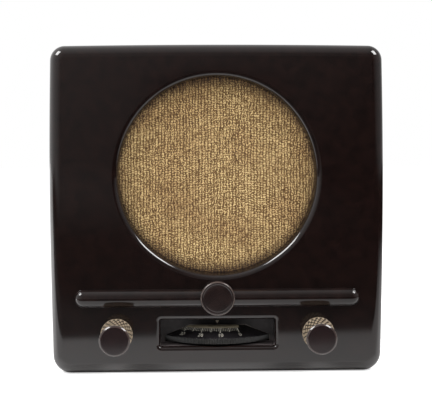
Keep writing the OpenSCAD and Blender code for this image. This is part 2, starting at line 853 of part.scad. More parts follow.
// A lead swept along its points: every ring lies across the mean of its two stretches
function unit(v) = v / norm(v);
function lead_ring(route, k) =
  let (
    n = len(route),
    along = unit(route[min(k + 1, n - 1)] - route[max(k - 1, 0)]),
    side = unit(cross(along, [1, 0.02, 0])),
    up = cross(side, along)
  )
  [for (i = [0:7]) route[k] + lead_r * (cos(45 * i) * side + sin(45 * i) * up)];

// Points of a lead from the coil down to the board: straight out, a round bend, straight down
function lead_route(x) =
  let (
    d0 = front_y + lead_d0,
    d1 = front_y + lead_d,
    r = lead_bend,
    z1 = open_z + lead_up
  )
  concat([[x, d0, z1]],
    [for (i = [0:5]) let (a = 90 * i / 5) [x, d1 - r + r * sin(a), z1 - r * (1 - cos(a))]],
    [[x, d1, z1 - lead_drop], [x * 1.2, d1, board_top + lay_gap / 4]]);

module lead(route) {
  skin([for (k = [0:len(route) - 1]) lead_ring(route, k)]);
}

module speaker_leads() {
  color("#7c5b2e") for (x = [-lead_x, lead_x]) lead(lead_route(x));
}

// The rim's ribs as one closed outline
module ribbed_rim(r, count, depth) {
  polygon([for (i = [0:2 * count - 1]) let (a = 180 * i / count) (r - depth * (i % 2)) * [cos(a), sin(a)]]);
}

module tuning_wheel() {
  inner = wheel_r - wheel_t;
  drop = scale_z - wheel_t;
  body_r = wheel_r - rib_d - 0.5;
  color("#1d1718") translate([0, wheel_y, 0]) difference() {
    union() {
      rotate_extrude($fn = round_fn) polygon([
        [wheel_hub_r - 1, drop], [scale_r - 1, drop], [inner, rim_z - 1], [inner, wheel_z],
        [body_r, wheel_z], [body_r, rim_z], [wheel_r - 0.6, rim_z],
        [scale_r, scale_z], [wheel_hub_r - 1, scale_z]]);
      translate([0, 0, wheel_z]) linear_extrude(rim_h) difference() {
        ribbed_rim(wheel_r, rib_count, rib_d);
        circle(r = inner + 0.3, $fn = round_fn);
      }
      translate([0, 0, hub_z0]) cylinder(r = wheel_hub_r, h = hub_z1 - hub_z0);
    }
    shaft_bore(hub_z0, hub_z1, fix_gap);
  }
}

// The bore for the tuning shaft between two heights
module shaft_bore(z0, z1, gap) {
  translate([0, 0, z0 - over]) cylinder(r = tune_shaft_r + gap, h = z1 - z0 + 2 * over);
}

module tuning_shaft() {
  z0 = hub_z0 - 1;
  color("#a8a49a") translate([0, wheel_y, z0]) cylinder(r = tune_shaft_r, h = tune_top_z + frame_t + 2 - z0);
}

module tuning_bushing() {
  color("#b59a55") translate([0, wheel_y, 0]) difference() {
    union() {
      translate([0, 0, board_z - bush_flange_t]) cylinder(r = bush_flange_r, h = bush_flange_t);
      translate([0, 0, board_z - bush_flange_t]) cylinder(r = bush_r, h = bush_z1 - board_z + bush_flange_t);
    }
    shaft_bore(board_z - bush_flange_t, bush_z1, run_gap);
  }
}

module tuning_rotor() {
  z0 = bush_z1 + 1;
  z1 = tune_top_z - 1;
  color("#b9b6ae") translate([0, wheel_y, 0]) difference() {
    union() {
      translate([0, 0, z0]) cylinder(r = rotor_hub_r, h = z1 - z0);
      for (i = [0:vane_count - 1]) translate([0, 0, vane_z + i * vane_pitch]) rotate([0, 0, 180])
        half_disc(vane_r, tune_shaft_r + fix_gap, vane_t);
    }
    shaft_bore(z0, z1, fix_gap);
  }
}

module stator_post_places(r) {
  for (a = stator_angles) translate([r * cos(a), r * sin(a), 0]) children();
}

module tuning_stator() {
  post_ring = (vane_r + stator_r) / 2 + 0.5;
  color("#a9a69e") translate([0, wheel_y, 0]) {
    for (i = [0:vane_count])
      translate([0, 0, vane_z + (i - 0.5) * vane_pitch]) half_disc(stator_r, rotor_hub_r + 1, vane_t);
    stator_post_places(post_ring) translate([0, 0, board_top + frame_t])
      cylinder(r = stator_post_r, h = tune_top_z - board_top - frame_t);
  }
}

module frame_plate(z) {
  translate([-tune_frame_half, -tune_frame_half, z]) cube([2 * tune_frame_half, 2 * tune_frame_half, frame_t]);
}

module tuning_frame() {
  post_z = board_top + frame_t;
  color("#6e4a2a") translate([0, wheel_y, 0]) {
    difference() {
      frame_plate(board_top);
      translate([0, 0, board_top - over]) cylinder(r = bush_r + fix_gap, h = frame_t + 2 * over);
    }
    difference() {
      frame_plate(tune_top_z);
      shaft_bore(tune_top_z, tune_top_z + frame_t, run_gap);
    }
    four(post_off, post_off) translate([0, 0, post_z]) cylinder(r = tune_post_r, h = tune_top_z - post_z);
  }
}

module wave_cam() {
  color("#7b5a34") translate([0, wheel_y, 0]) difference() {
    translate([0, 0, cam_z]) {
      cylinder(r = cam_r - cam_step, h = cam_h);
      half_disc(cam_r, tune_shaft_r, cam_h);
    }
    shaft_bore(cam_z, cam_z + cam_h, fix_gap);
  }
}

module wave_contacts() {
  x = cam_r + move_gap;
  color("#b59a55") for (sx = [-1, 1]) {
    translate([sx * (x + contact_t / 2) - contact_t / 2, wheel_y - contact_w / 2, cam_z])
      cube([contact_t, contact_w, board_z - cam_z]);
    translate([sx * (x + contact_w / 2) - contact_w / 2, wheel_y - contact_w / 2, board_z - 1])
      cube([contact_w, contact_w, 1]);
  }
}

module knob_body(x) {
  d0 = knob_d0;
  d1 = knob_d0 + knob_cap_len;
  color("#2b1d1a") difference() {
    union() {
      slab(d1 - 1, -knob_gap) translate([x, knob_z]) ribbed_rim(knob_r - knob_step, flute_count, flute_d);
      on_axis(x, knob_z) rotate_extrude() polygon([
        [0, d0], [knob_r - 2.2, d0], [knob_r - 0.8, d0 + 0.7], [knob_r - 0.2, d0 + 2],
        [knob_r, d0 + 3], [knob_r, d1], [0, d1]]);
    }
    rod(x, knob_z, shaft_r + fix_gap, -knob_gap - knob_bore, 0);
    translate([x, front_y - knob_gap - grub_d, knob_z]) cylinder(r = grub_r + fix_gap, h = knob_r + 2 * over);
  }
}

module grub_screw(x) {
  z0 = knob_z + shaft_r + fix_gap;
  color("#8a8478") translate([x, front_y - knob_gap - grub_d, z0]) difference() {
    cylinder(r = grub_r, h = grub_len);
    translate([-grub_slot / 2, -2 * grub_r, grub_len - 1]) cube([grub_slot, 4 * grub_r, 1 + over]);
  }
}

module coupling_knob() { knob_body(-knob_x); }

module coupling_screw() { grub_screw(-knob_x); }

module regeneration_knob() { knob_body(knob_x); }

module regeneration_screw() { grub_screw(knob_x); }

module coupling_shaft() {
  color("#a8a49a") rod(-knob_x, knob_z, shaft_r, shaft_d0, coupling_end_d);
}

module regeneration_shaft() {
  color("#a8a49a") rod(knob_x, knob_z, shaft_r, shaft_d0, switch_d + switch_len / 2);
}

module bushing_on(x, rear_d) {
  difference() {
    union() {
      rod(x, knob_z, bush_r, bush_d0, rear_d + bush_flange_t);
      rod(x, knob_z, bush_flange_r, rear_d, rear_d + bush_flange_t);
    }
    rod(x, knob_z, shaft_r + run_gap, bush_d0 - over, rear_d + bush_flange_t + over);
  }
}

module control_bushings() {
  color("#b59a55") {
    bushing_on(-knob_x, coupling_bush_d1);
    bushing_on(knob_x, regen_bush_d1);
  }
}

module control_nuts() {
  color("#9a958a") for (sx = [-1, 1]) difference() {
    on_axis(sx * knob_x, knob_z) translate([0, 0, nut_d]) cylinder(r = bush_r + nut_edge, h = nut_t, $fn = 6);
    rod(sx * knob_x, knob_z, bush_r + fix_gap, nut_d - over, bracket_d + over);
  }
}

module front_bracket() {
  z0 = knob_z - bracket_half;
  color("#8f8b82") difference() {
    for (sx = [-1, 1]) translate([sx * knob_x - bracket_half, front_y + bracket_d, 0]) {
      translate([0, 0, z0]) cube([2 * bracket_half, bracket_t, board_z - z0]);
      translate([0, 0, board_z - bracket_t]) cube([2 * bracket_half, bracket_foot, bracket_t]);
    }
    for (sx = [-1, 1])
      rod(sx * knob_x, knob_z, bush_r + fix_gap, bracket_d - over, bracket_d + bracket_t + over);
    bracket_screw_places() translate([0, 0, board_z - bracket_t - over])
      cylinder(r = screw_r + fix_gap, h = bracket_t + 2 * over);
  }
}

module bracket_screw_places() {
  for (sx = [-1, 1]) for (s = [-1, 1])
    translate([sx * knob_x + s * bracket_screw_off, front_y + bracket_screw_d, 0]) children();
}

module coupling_coil() {
  h = turn_coil_len / 2;
  h1 = h - coil_rim_t;
  r1 = turn_coil_r - coil_groove;
  color("#9a5a2c") translate([-knob_x, front_y + former_d, knob_z]) difference() {
    rotate_extrude() polygon([[0, -h], [turn_coil_r, -h], [turn_coil_r, -h1], [r1, -h1], [r1, h1],
      [turn_coil_r, h1], [turn_coil_r, h], [0, h]]);
    rotate([90, 0, 0]) cylinder(r = shaft_r + fix_gap, h = 2 * (turn_coil_r + over), center = true);
  }
}

module coil_former() {
  color("#6b4a2c") difference() {
    translate([-knob_x, front_y + former_d, 0]) {
      translate([0, 0, former_z0]) tube(former_r, former_r - former_t, board_z - former_z0);
      translate([0, 0, board_z - former_flange_t])
        tube(former_r + former_flange_w, former_r - former_t, former_flange_t);
    }
    rod(-knob_x, knob_z, shaft_r + run_gap, former_d - former_r - over, former_d + former_r + over);
  }
}

module coil_windings() {
  color("#b5642c") translate([-knob_x, front_y + former_d, 0])
    for (z = [former_z0 + winding_gap / 2, knob_z + winding_gap]) translate([0, 0, z])
      tube(former_r + winding_t, former_r + fix_gap, winding_h);
}

module regeneration_rotor() {
  d0 = regen_bush_d1 + bush_flange_t + 2 * move_gap;
  d1 = regen_rear_d - 2 * move_gap;
  color("#b9b6ae") on_axis(knob_x, knob_z) difference() {
    union() {
      translate([0, 0, d0]) cylinder(r = shaft_r + 2, h = d1 - d0);
      for (i = [0:vane_count - 1])
        translate([0, 0, regen_vane_d + i * vane_pitch]) half_disc(regen_vane_r, shaft_r, vane_t);
    }
    translate([0, 0, d0 - over]) cylinder(r = shaft_r + fix_gap, h = d1 - d0 + 2 * over);
  }
}

module regeneration_stator() {
  r = regen_vane_r + regen_stator_edge;
  color("#a9a69e") on_axis(knob_x, knob_z) rotate([0, 0, 90]) {
    for (i = [0:vane_count - 2])
      translate([0, 0, regen_vane_d + (i + 0.5) * vane_pitch]) half_disc(r, shaft_r + 3, vane_t);
    stator_post_places(r - stator_post_r) translate([0, 0, regen_bush_d1])
      cylinder(r = 0.8 * stator_post_r, h = regen_rear_d - regen_bush_d1);
  }
}

module regeneration_frame() {
  d0 = regen_plate_d;
  d1 = d0 + frame_t;
  off = regen_half - regen_post_r - 0.7;
  color("#6e4a2a") difference() {
    union() {
      for (d = [d0, regen_rear_d])
        slab(d, d + frame_t) translate([knob_x - regen_half, knob_z - regen_half]) square(2 * regen_half);
      on_axis(knob_x, knob_z) four(off, off)
        translate([0, 0, d1]) cylinder(r = regen_post_r, h = regen_rear_d - d1);
    }
    rod(knob_x, knob_z, bush_r + fix_gap, d0 - over, d1 + over);
    rod(knob_x, knob_z, shaft_r + run_gap, regen_rear_d - over, regen_rear_d + frame_t + over);
  }
}

module mains_switch() {
  color("#2f2723") difference() {
    rod(knob_x, knob_z, switch_r, switch_d, switch_d + switch_len);
    rod(knob_x, knob_z, shaft_r + run_gap, switch_d - over, switch_d + switch_len / 2 + over);
  }
}

// A hole through the chassis board
module board_hole(r) {
  translate([0, 0, board_z - over]) cylinder(r = r, h = board_t + 2 * over);
}

module chassis_board() {
  half = cab_w / 2 - wall - side_bow - lay_gap - 0.6;
  color("#8a5a2e") difference() {
    translate([-half, front_y + board_d0, board_z]) cube([2 * half, board_d1 - board_d0, board_t]);
    translate([0, wheel_y, 0]) board_hole(bush_r + fix_gap);
    chassis_screw_places() board_hole(screw_r + fix_gap);
    bracket_screw_places() board_hole(screw_r + fix_gap);
    translate([-main_valve_x, front_y + main_valve_d, 0]) board_hole(main_bulb_r - 7);
    translate([rect_valve_x, front_y + rect_valve_d, 0]) board_hole(rect_bulb_r - 4);
  }
}

// A pan-head screw down into the board, as long below the board's top as given
module board_screw(len) {
  translate([0, 0, board_top - len]) cylinder(r = screw_r, h = len);
  translate([0, 0, board_top]) cylinder(r = head_r, h = head_h);
}

module chassis_screws() {
  color("#8a8478") {
    chassis_screw_places() board_screw(board_t + ledge_t);
    bracket_screw_places() board_screw(board_t + 2 * bracket_t);
  }
}

// A socket ring, a base and a bulb of a valve, from the board upwards
module valve_socket_at(x, d, r) {
  contact_ring = r - 8;
  color("#3a2a22") translate([x, front_y + d, board_top]) difference() {
    cylinder(r = r - 1, h = socket_h);
    for (a = [0:45:315]) rotate([0, 0, a]) translate([contact_ring, 0, -over])
      cylinder(r = 1.2, h = socket_h + 2 * over);
  }
}

module valve_base_at(x, d, r) {
  color("#1f1a18") translate([x, front_y + d, board_top + socket_h]) {
    cylinder(r = r - 3, h = base_h);
    translate([0, 0, base_h]) cylinder(r = r - 1.5, h = 1);
  }
}

module valve_bulb_at(x, d, r, h, tint) {
  dome = 0.9 * r;
  color(tint) translate([x, front_y + d, board_top + socket_h + base_h + 1]) rotate_extrude() polygon(concat(
    [[0, 0], [r - 3, 0], [r - 1, 2], [r, 5], [r, h - r]],
    [for (i = [1:lip_steps - 1]) let (a = 90 * i / lip_steps) [r * cos(a), h - r + dome * sin(a)]],
    [[0, h - r + dome]]));
}

module main_valve_socket() { valve_socket_at(-main_valve_x, main_valve_d, main_bulb_r); }

module main_valve_base() { valve_base_at(-main_valve_x, main_valve_d, main_bulb_r); }

module main_valve_bulb() { valve_bulb_at(-main_valve_x, main_valve_d, main_bulb_r, main_bulb_h, "#8f8c86"); }

module rectifier_socket() { valve_socket_at(rect_valve_x, rect_valve_d, rect_bulb_r); }

module rectifier_base() { valve_base_at(rect_valve_x, rect_valve_d, rect_bulb_r); }

module rectifier_bulb() { valve_bulb_at(rect_valve_x, rect_valve_d, rect_bulb_r, rect_bulb_h, "#9aa3a0"); }

module filter_capacitor() {
  color("#6f6a5c") translate([block_x - block_w / 2, front_y + block_d0, board_top]) {
    cube([block_w, block_d, block_h]);
    for (x = [block_w / 3, 2 * block_w / 3])
      translate([x, block_d / 2, block_h]) cylinder(r = 2, h = 4);
  }
}

module dropping_resistor() {
  color("#6b7a5e") translate([strip_x - dropper_len / 2, front_y + dropper_d, dropper_z]) rotate([0, 90, 0])
    tube(dropper_r, dropper_r - dropper_wall, dropper_len);
}

module resistor_clips() {
  off = dropper_len / 2 - clip_in;
  color("#9a958a") for (s = [-1, 1])
    translate([strip_x + s * off - clip_w / 2, front_y + dropper_d, 0]) {
      translate([0, 0, dropper_z]) rotate([0, 90, 0]) tube(dropper_r + clip_t, dropper_r + fix_gap, clip_w);
      translate([0, -clip_t / 2, board_top])
        cube([clip_w, clip_t, dropper_z - board_top - dropper_r - clip_t / 2]);
      translate([0, -clip_foot / 2, board_top]) cube([clip_w, clip_foot, clip_t]);
    }
}

module tubular_capacitors() {
  color("#c2a66b") for (d = [tube_cap_d, tube_cap_d + tube_cap_pitch])
    translate([-tube_cap_x - tube_cap_len / 2, front_y + d, board_top + tube_cap_r])
      rotate([0, 90, 0]) cylinder(r = tube_cap_r, h = tube_cap_len);
}

module socket_strip() {
  foot_off = (strip_w - strip_foot_w) / 2;
  rear_d = rear_shelf_d + strip_t;
  color("#7a5230") difference() {
    union() {
      slab(rear_shelf_d, rear_d) translate([strip_x, 0]) {
        translate([-strip_w / 2, strip_z - strip_h / 2]) square([strip_w, strip_h]);
        for (s = [-1, 1]) translate([s * foot_off - strip_foot_w / 2, board_top])
          square([strip_foot_w, strip_z - board_top]);
      }
      for (s = [-1, 1])
        translate([strip_x + s * foot_off - strip_foot_w / 2, front_y + board_d1 - strip_foot_len, board_top])
          cube([strip_foot_w, rear_d - board_d1 + strip_foot_len, strip_t]);
    }
    for (i = [-1:1])
      rod(strip_x + i * plug_pitch, strip_z, sleeve_r + fix_gap, rear_shelf_d - over, rear_d + over);
  }
}

module aerial_sockets() {
  d1 = rear_shelf_d + strip_t + sleeve_rim_t;
  color("#b59a55") for (i = [-1:1]) translate([strip_x + i * plug_pitch, 0, 0]) difference() {
    union() {
      rod(0, strip_z, sleeve_r, d1 - plug_depth - 1.5, d1);
      rod(0, strip_z, sleeve_r + sleeve_rim_w, d1 - sleeve_rim_t, d1);
    }
    rod(0, strip_z, plug_r + plug_clear, d1 - plug_depth, d1 + over);
  }
}

module back_cover() {
  d0 = cover_d - over;
  d1 = cover_d + cover_t + over;
  color("#4a3526") difference() {
    slab(cover_d, cover_d + cover_t) polygon(cabinet_outline(wall + lay_gap));
    for (r = [0:vent_rows - 1]) for (c = [0:vent_cols - 1])
      rod((c - (vent_cols - 1) / 2) * vent_pitch,
          open_z + vent_rise + (r - (vent_rows - 1) / 2) * vent_pitch, vent_r, d0, d1);
    slab(d0, d1) translate([strip_x - strip_w / 2 - 1, strip_z - strip_h / 2 - 1])
      square([strip_w + 2, strip_h + 2]);
    rod(inlet_x, inlet_z, grommet_r + fix_gap, d0, d1);
    at_bosses() rod(0, 0, screw_r + fix_gap, d0, d1);
  }
}

module cover_screws() {
  color("#8a8478") at_bosses() depth_screw(0, 0, cover_d + cover_t, cover_d - cover_grip);
}

module cord_grommet() {
  d0 = cover_d - grommet_t;
  d1 = cover_d + cover_t + grommet_t;
  color("#26211f") difference() {
    union() {
      rod(inlet_x, inlet_z, grommet_r, d0, d1);
      rod(inlet_x, inlet_z, grommet_r + grommet_lip, d0, cover_d);
      rod(inlet_x, inlet_z, grommet_r + grommet_lip, cover_d + cover_t, d1);
    }
    rod(inlet_x, inlet_z, inlet_r, d0 - over, d1 + over);
  }
}

cabinet();
speaker_cloth();
baffle_board();
baffle_screws();
card_gasket();
cone_surround();
speaker_basket();
speaker_screws();
speaker_cone();
cone_hub();
drive_pin();
motor_plate();
speaker_magnet();
pole_shoes();
speaker_coil();
armature_reed();
reed_clamp();
speaker_leads();
tuning_wheel();
tuning_shaft();
tuning_bushing();
tuning_rotor();
tuning_stator();
tuning_frame();
wave_cam();
wave_contacts();
coupling_knob();
coupling_screw();
coupling_shaft();
coupling_coil();
coil_former();
coil_windings();
regeneration_knob();
regeneration_screw();
regeneration_shaft();
regeneration_rotor();
regeneration_stator();
regeneration_frame();
mains_switch();
control_bushings();
control_nuts();
front_bracket();
chassis_board();
chassis_screws();
main_valve_bulb();
main_valve_base();
main_valve_socket();
rectifier_bulb();
rectifier_base();
rectifier_socket();
filter_capacitor();
dropping_resistor();
resistor_clips();
tubular_capacitors();
socket_strip();
aerial_sockets();
back_cover();
cover_screws();
cord_grommet();
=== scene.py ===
"""Looks of a small moulded mains radio of the late 1930s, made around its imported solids.

Everything is in metres in the frame of the solids: Z is up and the front looks towards -Y.
Depths are measured backwards from the plane of the front face.
"""

import math

import bmesh
import bpy
import numpy as np
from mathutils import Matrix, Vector


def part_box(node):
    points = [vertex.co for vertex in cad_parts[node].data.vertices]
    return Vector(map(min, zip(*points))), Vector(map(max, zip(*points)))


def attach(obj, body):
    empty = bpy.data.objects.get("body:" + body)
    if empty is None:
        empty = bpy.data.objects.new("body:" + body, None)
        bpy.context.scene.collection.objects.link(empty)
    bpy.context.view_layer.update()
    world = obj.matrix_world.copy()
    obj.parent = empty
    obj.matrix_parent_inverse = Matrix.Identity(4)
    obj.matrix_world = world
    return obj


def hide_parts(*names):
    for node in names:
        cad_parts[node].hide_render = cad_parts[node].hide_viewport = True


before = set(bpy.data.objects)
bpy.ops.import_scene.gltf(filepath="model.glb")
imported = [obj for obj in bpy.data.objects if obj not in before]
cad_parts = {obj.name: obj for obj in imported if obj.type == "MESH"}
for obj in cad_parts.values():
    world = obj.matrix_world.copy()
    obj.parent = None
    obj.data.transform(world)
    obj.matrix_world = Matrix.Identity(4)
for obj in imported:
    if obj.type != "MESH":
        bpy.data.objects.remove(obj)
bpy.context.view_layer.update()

bl_info = {
    "name": "Moulded table radio",
    "version": (1, 0, 0),
    "blender": (4, 5, 0),
    "location": "3D View > Sidebar > Radio",
    "description": "Cabinet, cloth, dial and knobs of a small table radio, with a plain studio",
    "category": "Object",
}

MM = 0.001
BODY = "set"
cab_lo, cab_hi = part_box("cabinet")
wheel_lo, wheel_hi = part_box("tuning_wheel")
knob_lo, knob_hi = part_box("coupling_knob")
cloth_lo, cloth_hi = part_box("speaker_cloth")
REAR_Y = cab_hi.y
FRONT_Y = -cab_hi.y
OPEN_Z = (cloth_lo.z + cloth_hi.z) / 2
CLOTH_R = 80.6 * MM
WHEEL_R = wheel_hi.x
WHEEL_Y = (wheel_lo.y + wheel_hi.y) / 2
KNOB_X = -(knob_lo.x + knob_hi.x) / 2
KNOB_Z = (knob_lo.z + knob_hi.z) / 2
KNURL_DEPTH = 0.6 * MM
KNURL_ROWS = slice(4, 34)


def length(name, text, mm):
    """A size that a user may change, with its default in millimetres."""
    kind = {"subtype": "DISTANCE", "unit": "LENGTH"}
    return bpy.props.FloatProperty(name=name, description=text, default=mm * MM, min=0.0, max=0.5, **kind)


def count(name, text, default, low):
    """A whole number that a user may change."""
    return bpy.props.IntProperty(name=name, description=text, default=default, min=low)


def tint(name, text, default):
    """A colour that a user may change, written as an sRGB hex value."""
    return bpy.props.StringProperty(name=name, description=text, default=default, maxlen=7)


def strength(name, text, default, unit="NONE"):
    """A strength of light that a user may change."""
    return bpy.props.FloatProperty(name=name, description=text, default=default, min=0.0, unit=unit)


class RadioSizes(bpy.types.PropertyGroup):
    """Sizes of the pieces that stand for solids."""

    front_radius: length("Front edge", "Radius round the front face", 8.5)
    corner_radius: length("Upper corners", "Radius of the two upper long edges", 10.2)
    foot_radius: length("Lower corners", "Radius of the two lower long edges", 13)
    side_bow: length("Side bow", "How far the sides bulge at half height", 1.7)
    top_bow: length("Top bow", "How far the top rises in the middle", 1.0)
    wall: length("Wall", "Thickness of the moulded wall", 3.5)
    opening: length("Opening", "Radius of the round opening", 71.6)
    opening_lip: length("Opening lip", "Radius of the opening's rolled lip", 4.6)
    bar_half: length("Bar", "Half length of the bar", 103.4)
    bar_radius: length("Bar radius", "Radius of the bar's half-round section", 6.4)
    bar_height: length("Bar height", "Height of the bar over the ground", 55.6)
    bar_fillet: length("Bar fillet", "Radius of the hollow beside the bar", 0.1)
    medallion: length("Medallion", "Radius of the round boss on the bar", 12.5)
    medallion_height: length("Medallion height", "Height of the boss over the ground", 55.9)
    recess_half: length("Recess", "Half width of the dial recess", 42)
    recess_depth: length("Recess depth", "Depth of the dial recess", 17)
    rib_count: count("Ribs", "Ribs round the thumb-wheel", 260, 40)
    knurl_count: count("Knurl", "Diamonds round a knob", 22, 12)


class RadioColours(bpy.types.PropertyGroup):
    """Colours of the finishes, as sRGB hex values."""

    bakelite: tint("Bakelite", "Ground colour of the moulded cabinet", "#110a09")
    knob: tint("Knob", "Ground colour of the knobs", "#1a1112")
    # Thread and gap also paint the weave's relief: lit crowns light and shaded hollows dark
    thread: tint("Thread", "Light side of the cloth's threads", "#dcc088")
    gap: tint("Gap", "Dark gaps between the cloth's threads", "#50340a")
    scale_print: tint("Scale print", "Printed marks and numbers of the dial", "#e6e1d2")
    scale_band: tint("Scale band", "Printed band round the top of the scale", "#b5a990")


class StudioSettings(bpy.types.PropertyGroup):
    """Strengths of the lamps and the room."""

    lamp: strength("Lamps", "Power of each overhead lamp", 12.0, "POWER")
    room: strength("Room", "Strength of the room's even light", 0.5)


def linear(value):
    """An sRGB hex value, or the user's colour of that name, as a linear colour with alpha 1."""
    value = getattr(bpy.context.scene.radio_colours, value, value)
    c = np.array([int(value[i : i + 2], 16) for i in (1, 3, 5)]) / 255
    c = np.where(c <= 0.04045, c / 12.92, ((c + 0.055) / 1.055) ** 2.4)
    return (*c.tolist(), 1.0)


# Mesh tools. A surface is a grid of points, rows by columns, worked out as whole arrays.


def grid(points, wrap=True, keep=None):
    """Points and four-sided faces of a grid of rows and columns. Its last column joins the first if it
    wraps. keep is False where a face is left out."""
    rows, columns = points.shape[:2]
    i = np.arange(rows - 1)[:, None]
    j = np.arange(columns if wrap else columns - 1)[None, :]
    i1, j1 = i + 1, (j + 1) % columns
    faces = np.stack([i * columns + j, i * columns + j1, i1 * columns + j1, i1 * columns + j], -1)
    if keep is not None:
        faces = faces[keep]
    return points.reshape(-1, 3), faces.reshape(-1, 4)


def joined(*parts):
    """Several (points, faces) as one."""
    shift = np.cumsum([0] + [len(p) for p, _ in parts[:-1]])
    return np.concatenate([p for p, _ in parts]), np.concatenate([f + s for (_, f), s in zip(parts, shift)])


def link(name, data):
    """A new object of this data in the scene."""
    thing = bpy.data.objects.new(name, data)
    bpy.context.scene.collection.objects.link(thing)
    return thing


def build(name, part, materials, body=BODY, slots=None, outward=True):
    """Makes the object: doubles are merged, faces turned outwards, and edges over 38 degrees kept sharp."""
    points, faces = part
    mesh = bpy.data.meshes.new(name)
    mesh.vertices.add(len(points))
    mesh.vertices.foreach_set("co", np.asarray(points, np.float32).ravel())
    mesh.loops.add(faces.size)
    mesh.loops.foreach_set("vertex_index", faces.astype(np.int32).ravel())
    mesh.polygons.add(len(faces))
    mesh.polygons.foreach_set("loop_start", np.arange(0, faces.size, 4, dtype=np.int32))
    if slots is not None:
        mesh.polygons.foreach_set("material_index", np.asarray(slots, np.int32))
    mesh.update(calc_edges=True)
    mesh.validate()
    bm = bmesh.new()
    bm.from_mesh(mesh)
    bmesh.ops.remove_doubles(bm, verts=bm.verts, dist=1e-6)
    if outward:
        bmesh.ops.recalc_face_normals(bm, faces=bm.faces)
    bm.to_mesh(mesh)
    bm.free()
    for material in materials:
        mesh.materials.append(material)
    mesh.shade_smooth()
    mesh.set_sharp_from_angle(angle=math.radians(38))
    piece = link(name, mesh)
    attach(piece, body)
    return piece


def places(mesh):
    """The points of a mesh."""
    co = np.zeros(len(mesh.vertices) * 3, np.float32)
    mesh.vertices.foreach_get("co", co)
    return co.reshape(-1, 3)


def turned(profile, centre, axis, columns, radial=None):
    """A profile of (radius, place along the axis) carried round an axis: each point is the centre plus
    its radius across the axis at an angle plus its place along it. radial changes the radii by angle, as
    rows by columns."""
    profile = np.asarray(profile, float)
    a = 2 * np.pi * np.arange(columns) / columns
    r = profile[:, :1] * np.ones_like(a)
    if radial is not None:
        r = r + radial(a, profile)
    along = profile[:, 1:] * np.ones_like(a)
    across = [centre[0] + r * np.cos(a), centre[1] + r * np.sin(a)]
    across.insert(1 if axis == "Y" else 2, along)
    return grid(np.stack(across, -1))


def arc(cx, cz, r, start, steps):
    """Points of a quarter circle from a start angle in degrees."""
    a = np.radians(start + np.linspace(0, 90, steps + 1))
    return np.stack([cx + r * np.cos(a), cz + r * np.sin(a)], 1)


def line(p, q, steps):
    """Points inside a straight stretch, without its ends."""
    t = np.linspace(0, 1, steps + 1)[1:-1, None]
    return np.array(p) * (1 - t) + np.array(q) * t


def stretches(stops, counts):
    """Places along straight stretches with a count of steps each, without the first and the last place."""
    parts = [np.linspace(p, q, n + 1)[:-1] for p, q, n in zip(stops, stops[1:], counts)]
    return np.concatenate(parts)[1:]


def curl(r, steps=12):
    """A quarter circle as (margin, depth) pairs: r times one less the sine, r times one less the cosine."""
    a = np.radians(np.linspace(0, 90, steps + 1))
    return [(r * (1 - math.sin(x)), r * (1 - math.cos(x))) for x in a]


def at_depth(loop, depth):
    """Puts a flat loop of (x, z) points at a depth behind the front face."""
    return np.stack([loop[:, 0], np.full(len(loop), FRONT_Y + depth), loop[:, 1]], 1)


# The cabinet's loops share these counts, so that neighbouring loops join point to point
CORNER, TOP, BOTTOM, LOW, HIGH = 12, 64, 60, 12, 48
THIRD = BOTTOM // 3
SEAM_Z, JOIN_Z = 54.5 * MM, 42 * MM
SLOT_HALF = 30 * MM
SLOT_DEPTHS = [(40 + 12 * i - 2, 40 + 12 * i + 2) for i in range(5)]
# Rows of the dial recess with its dust and painted shade, and rows along the edge of its slot with a
# painted highlight
DUST_AND_SHADE_ROWS, SLOT_HIGHLIGHT_ROWS = (11, 21), (16, 18)


def closed(upper, half, z0, z1, r):
    """Closes an upper edge below: both sides from height z1 down, and a bottom with rounded corners."""
    x, low = half - r, z0 + r
    left, right = line((-half, z1), (-half, low), LOW), line((half, low), (half, z1), LOW)
    corners = [arc(-x, low, r, 180, CORNER), arc(x, low, r, 270, CORNER)]
    bottom = line((-x, z0), (x, z0), BOTTOM)
    return np.concatenate([*upper, left, corners[0], bottom, corners[1], right])


def rounded(half, z0, z1, r):
    """A rounded rectangle with the same count of points as the loop below the seam."""
    x, high = half - r, z1 - r
    upper = [arc(x, high, r, 0, CORNER), line((x, z1), (-x, z1), BOTTOM), arc(-x, high, r, 90, CORNER)]
    return closed(upper, half, z0, high, r)


def slot(grow):
    """The slot of the thumb-wheel: upright at the rim, slanting along the cone, level at the top."""
    tip, top = 38.6 * MM + grow, 20.4 * MM + grow
    z0, z1, z2 = wheel_lo.z - 0.8 * MM - grow, wheel_lo.z + 4.1 * MM, wheel_lo.z + 11.4 * MM + grow
    slope = np.linspace(0, 1, CORNER + 1)[:, None]
    up = np.array([tip, z1]) * (1 - slope) + np.array([top, z2]) * slope
    upper = [up, line((top, z2), (-top, z2), BOTTOM), up[::-1] * [-1, 1]]
    return closed(upper, tip, z0, z1, 0.4 * MM)


def opening(s, upper):
    """The round opening: a rolled lip and a collar behind it, on spokes to the loop around them."""
    angle = np.arctan2(upper[:, 1] - OPEN_Z, upper[:, 0])
    collar, deep = s.opening + 4 * MM, 10 * MM
    inner, edge = s.opening - 0.6 * MM, 0.3 * MM
    steps = [(s.opening + margin, d) for margin, d in curl(s.opening_lip)]
    steps += [(inner, deep - edge), (inner + edge, deep), (collar, deep), (collar, s.wall)]
    across, up = np.cos(angle), np.sin(angle)
    return np.stack([at_depth(np.stack([r * across, OPEN_Z + r * up], 1), d) for r, d in steps])


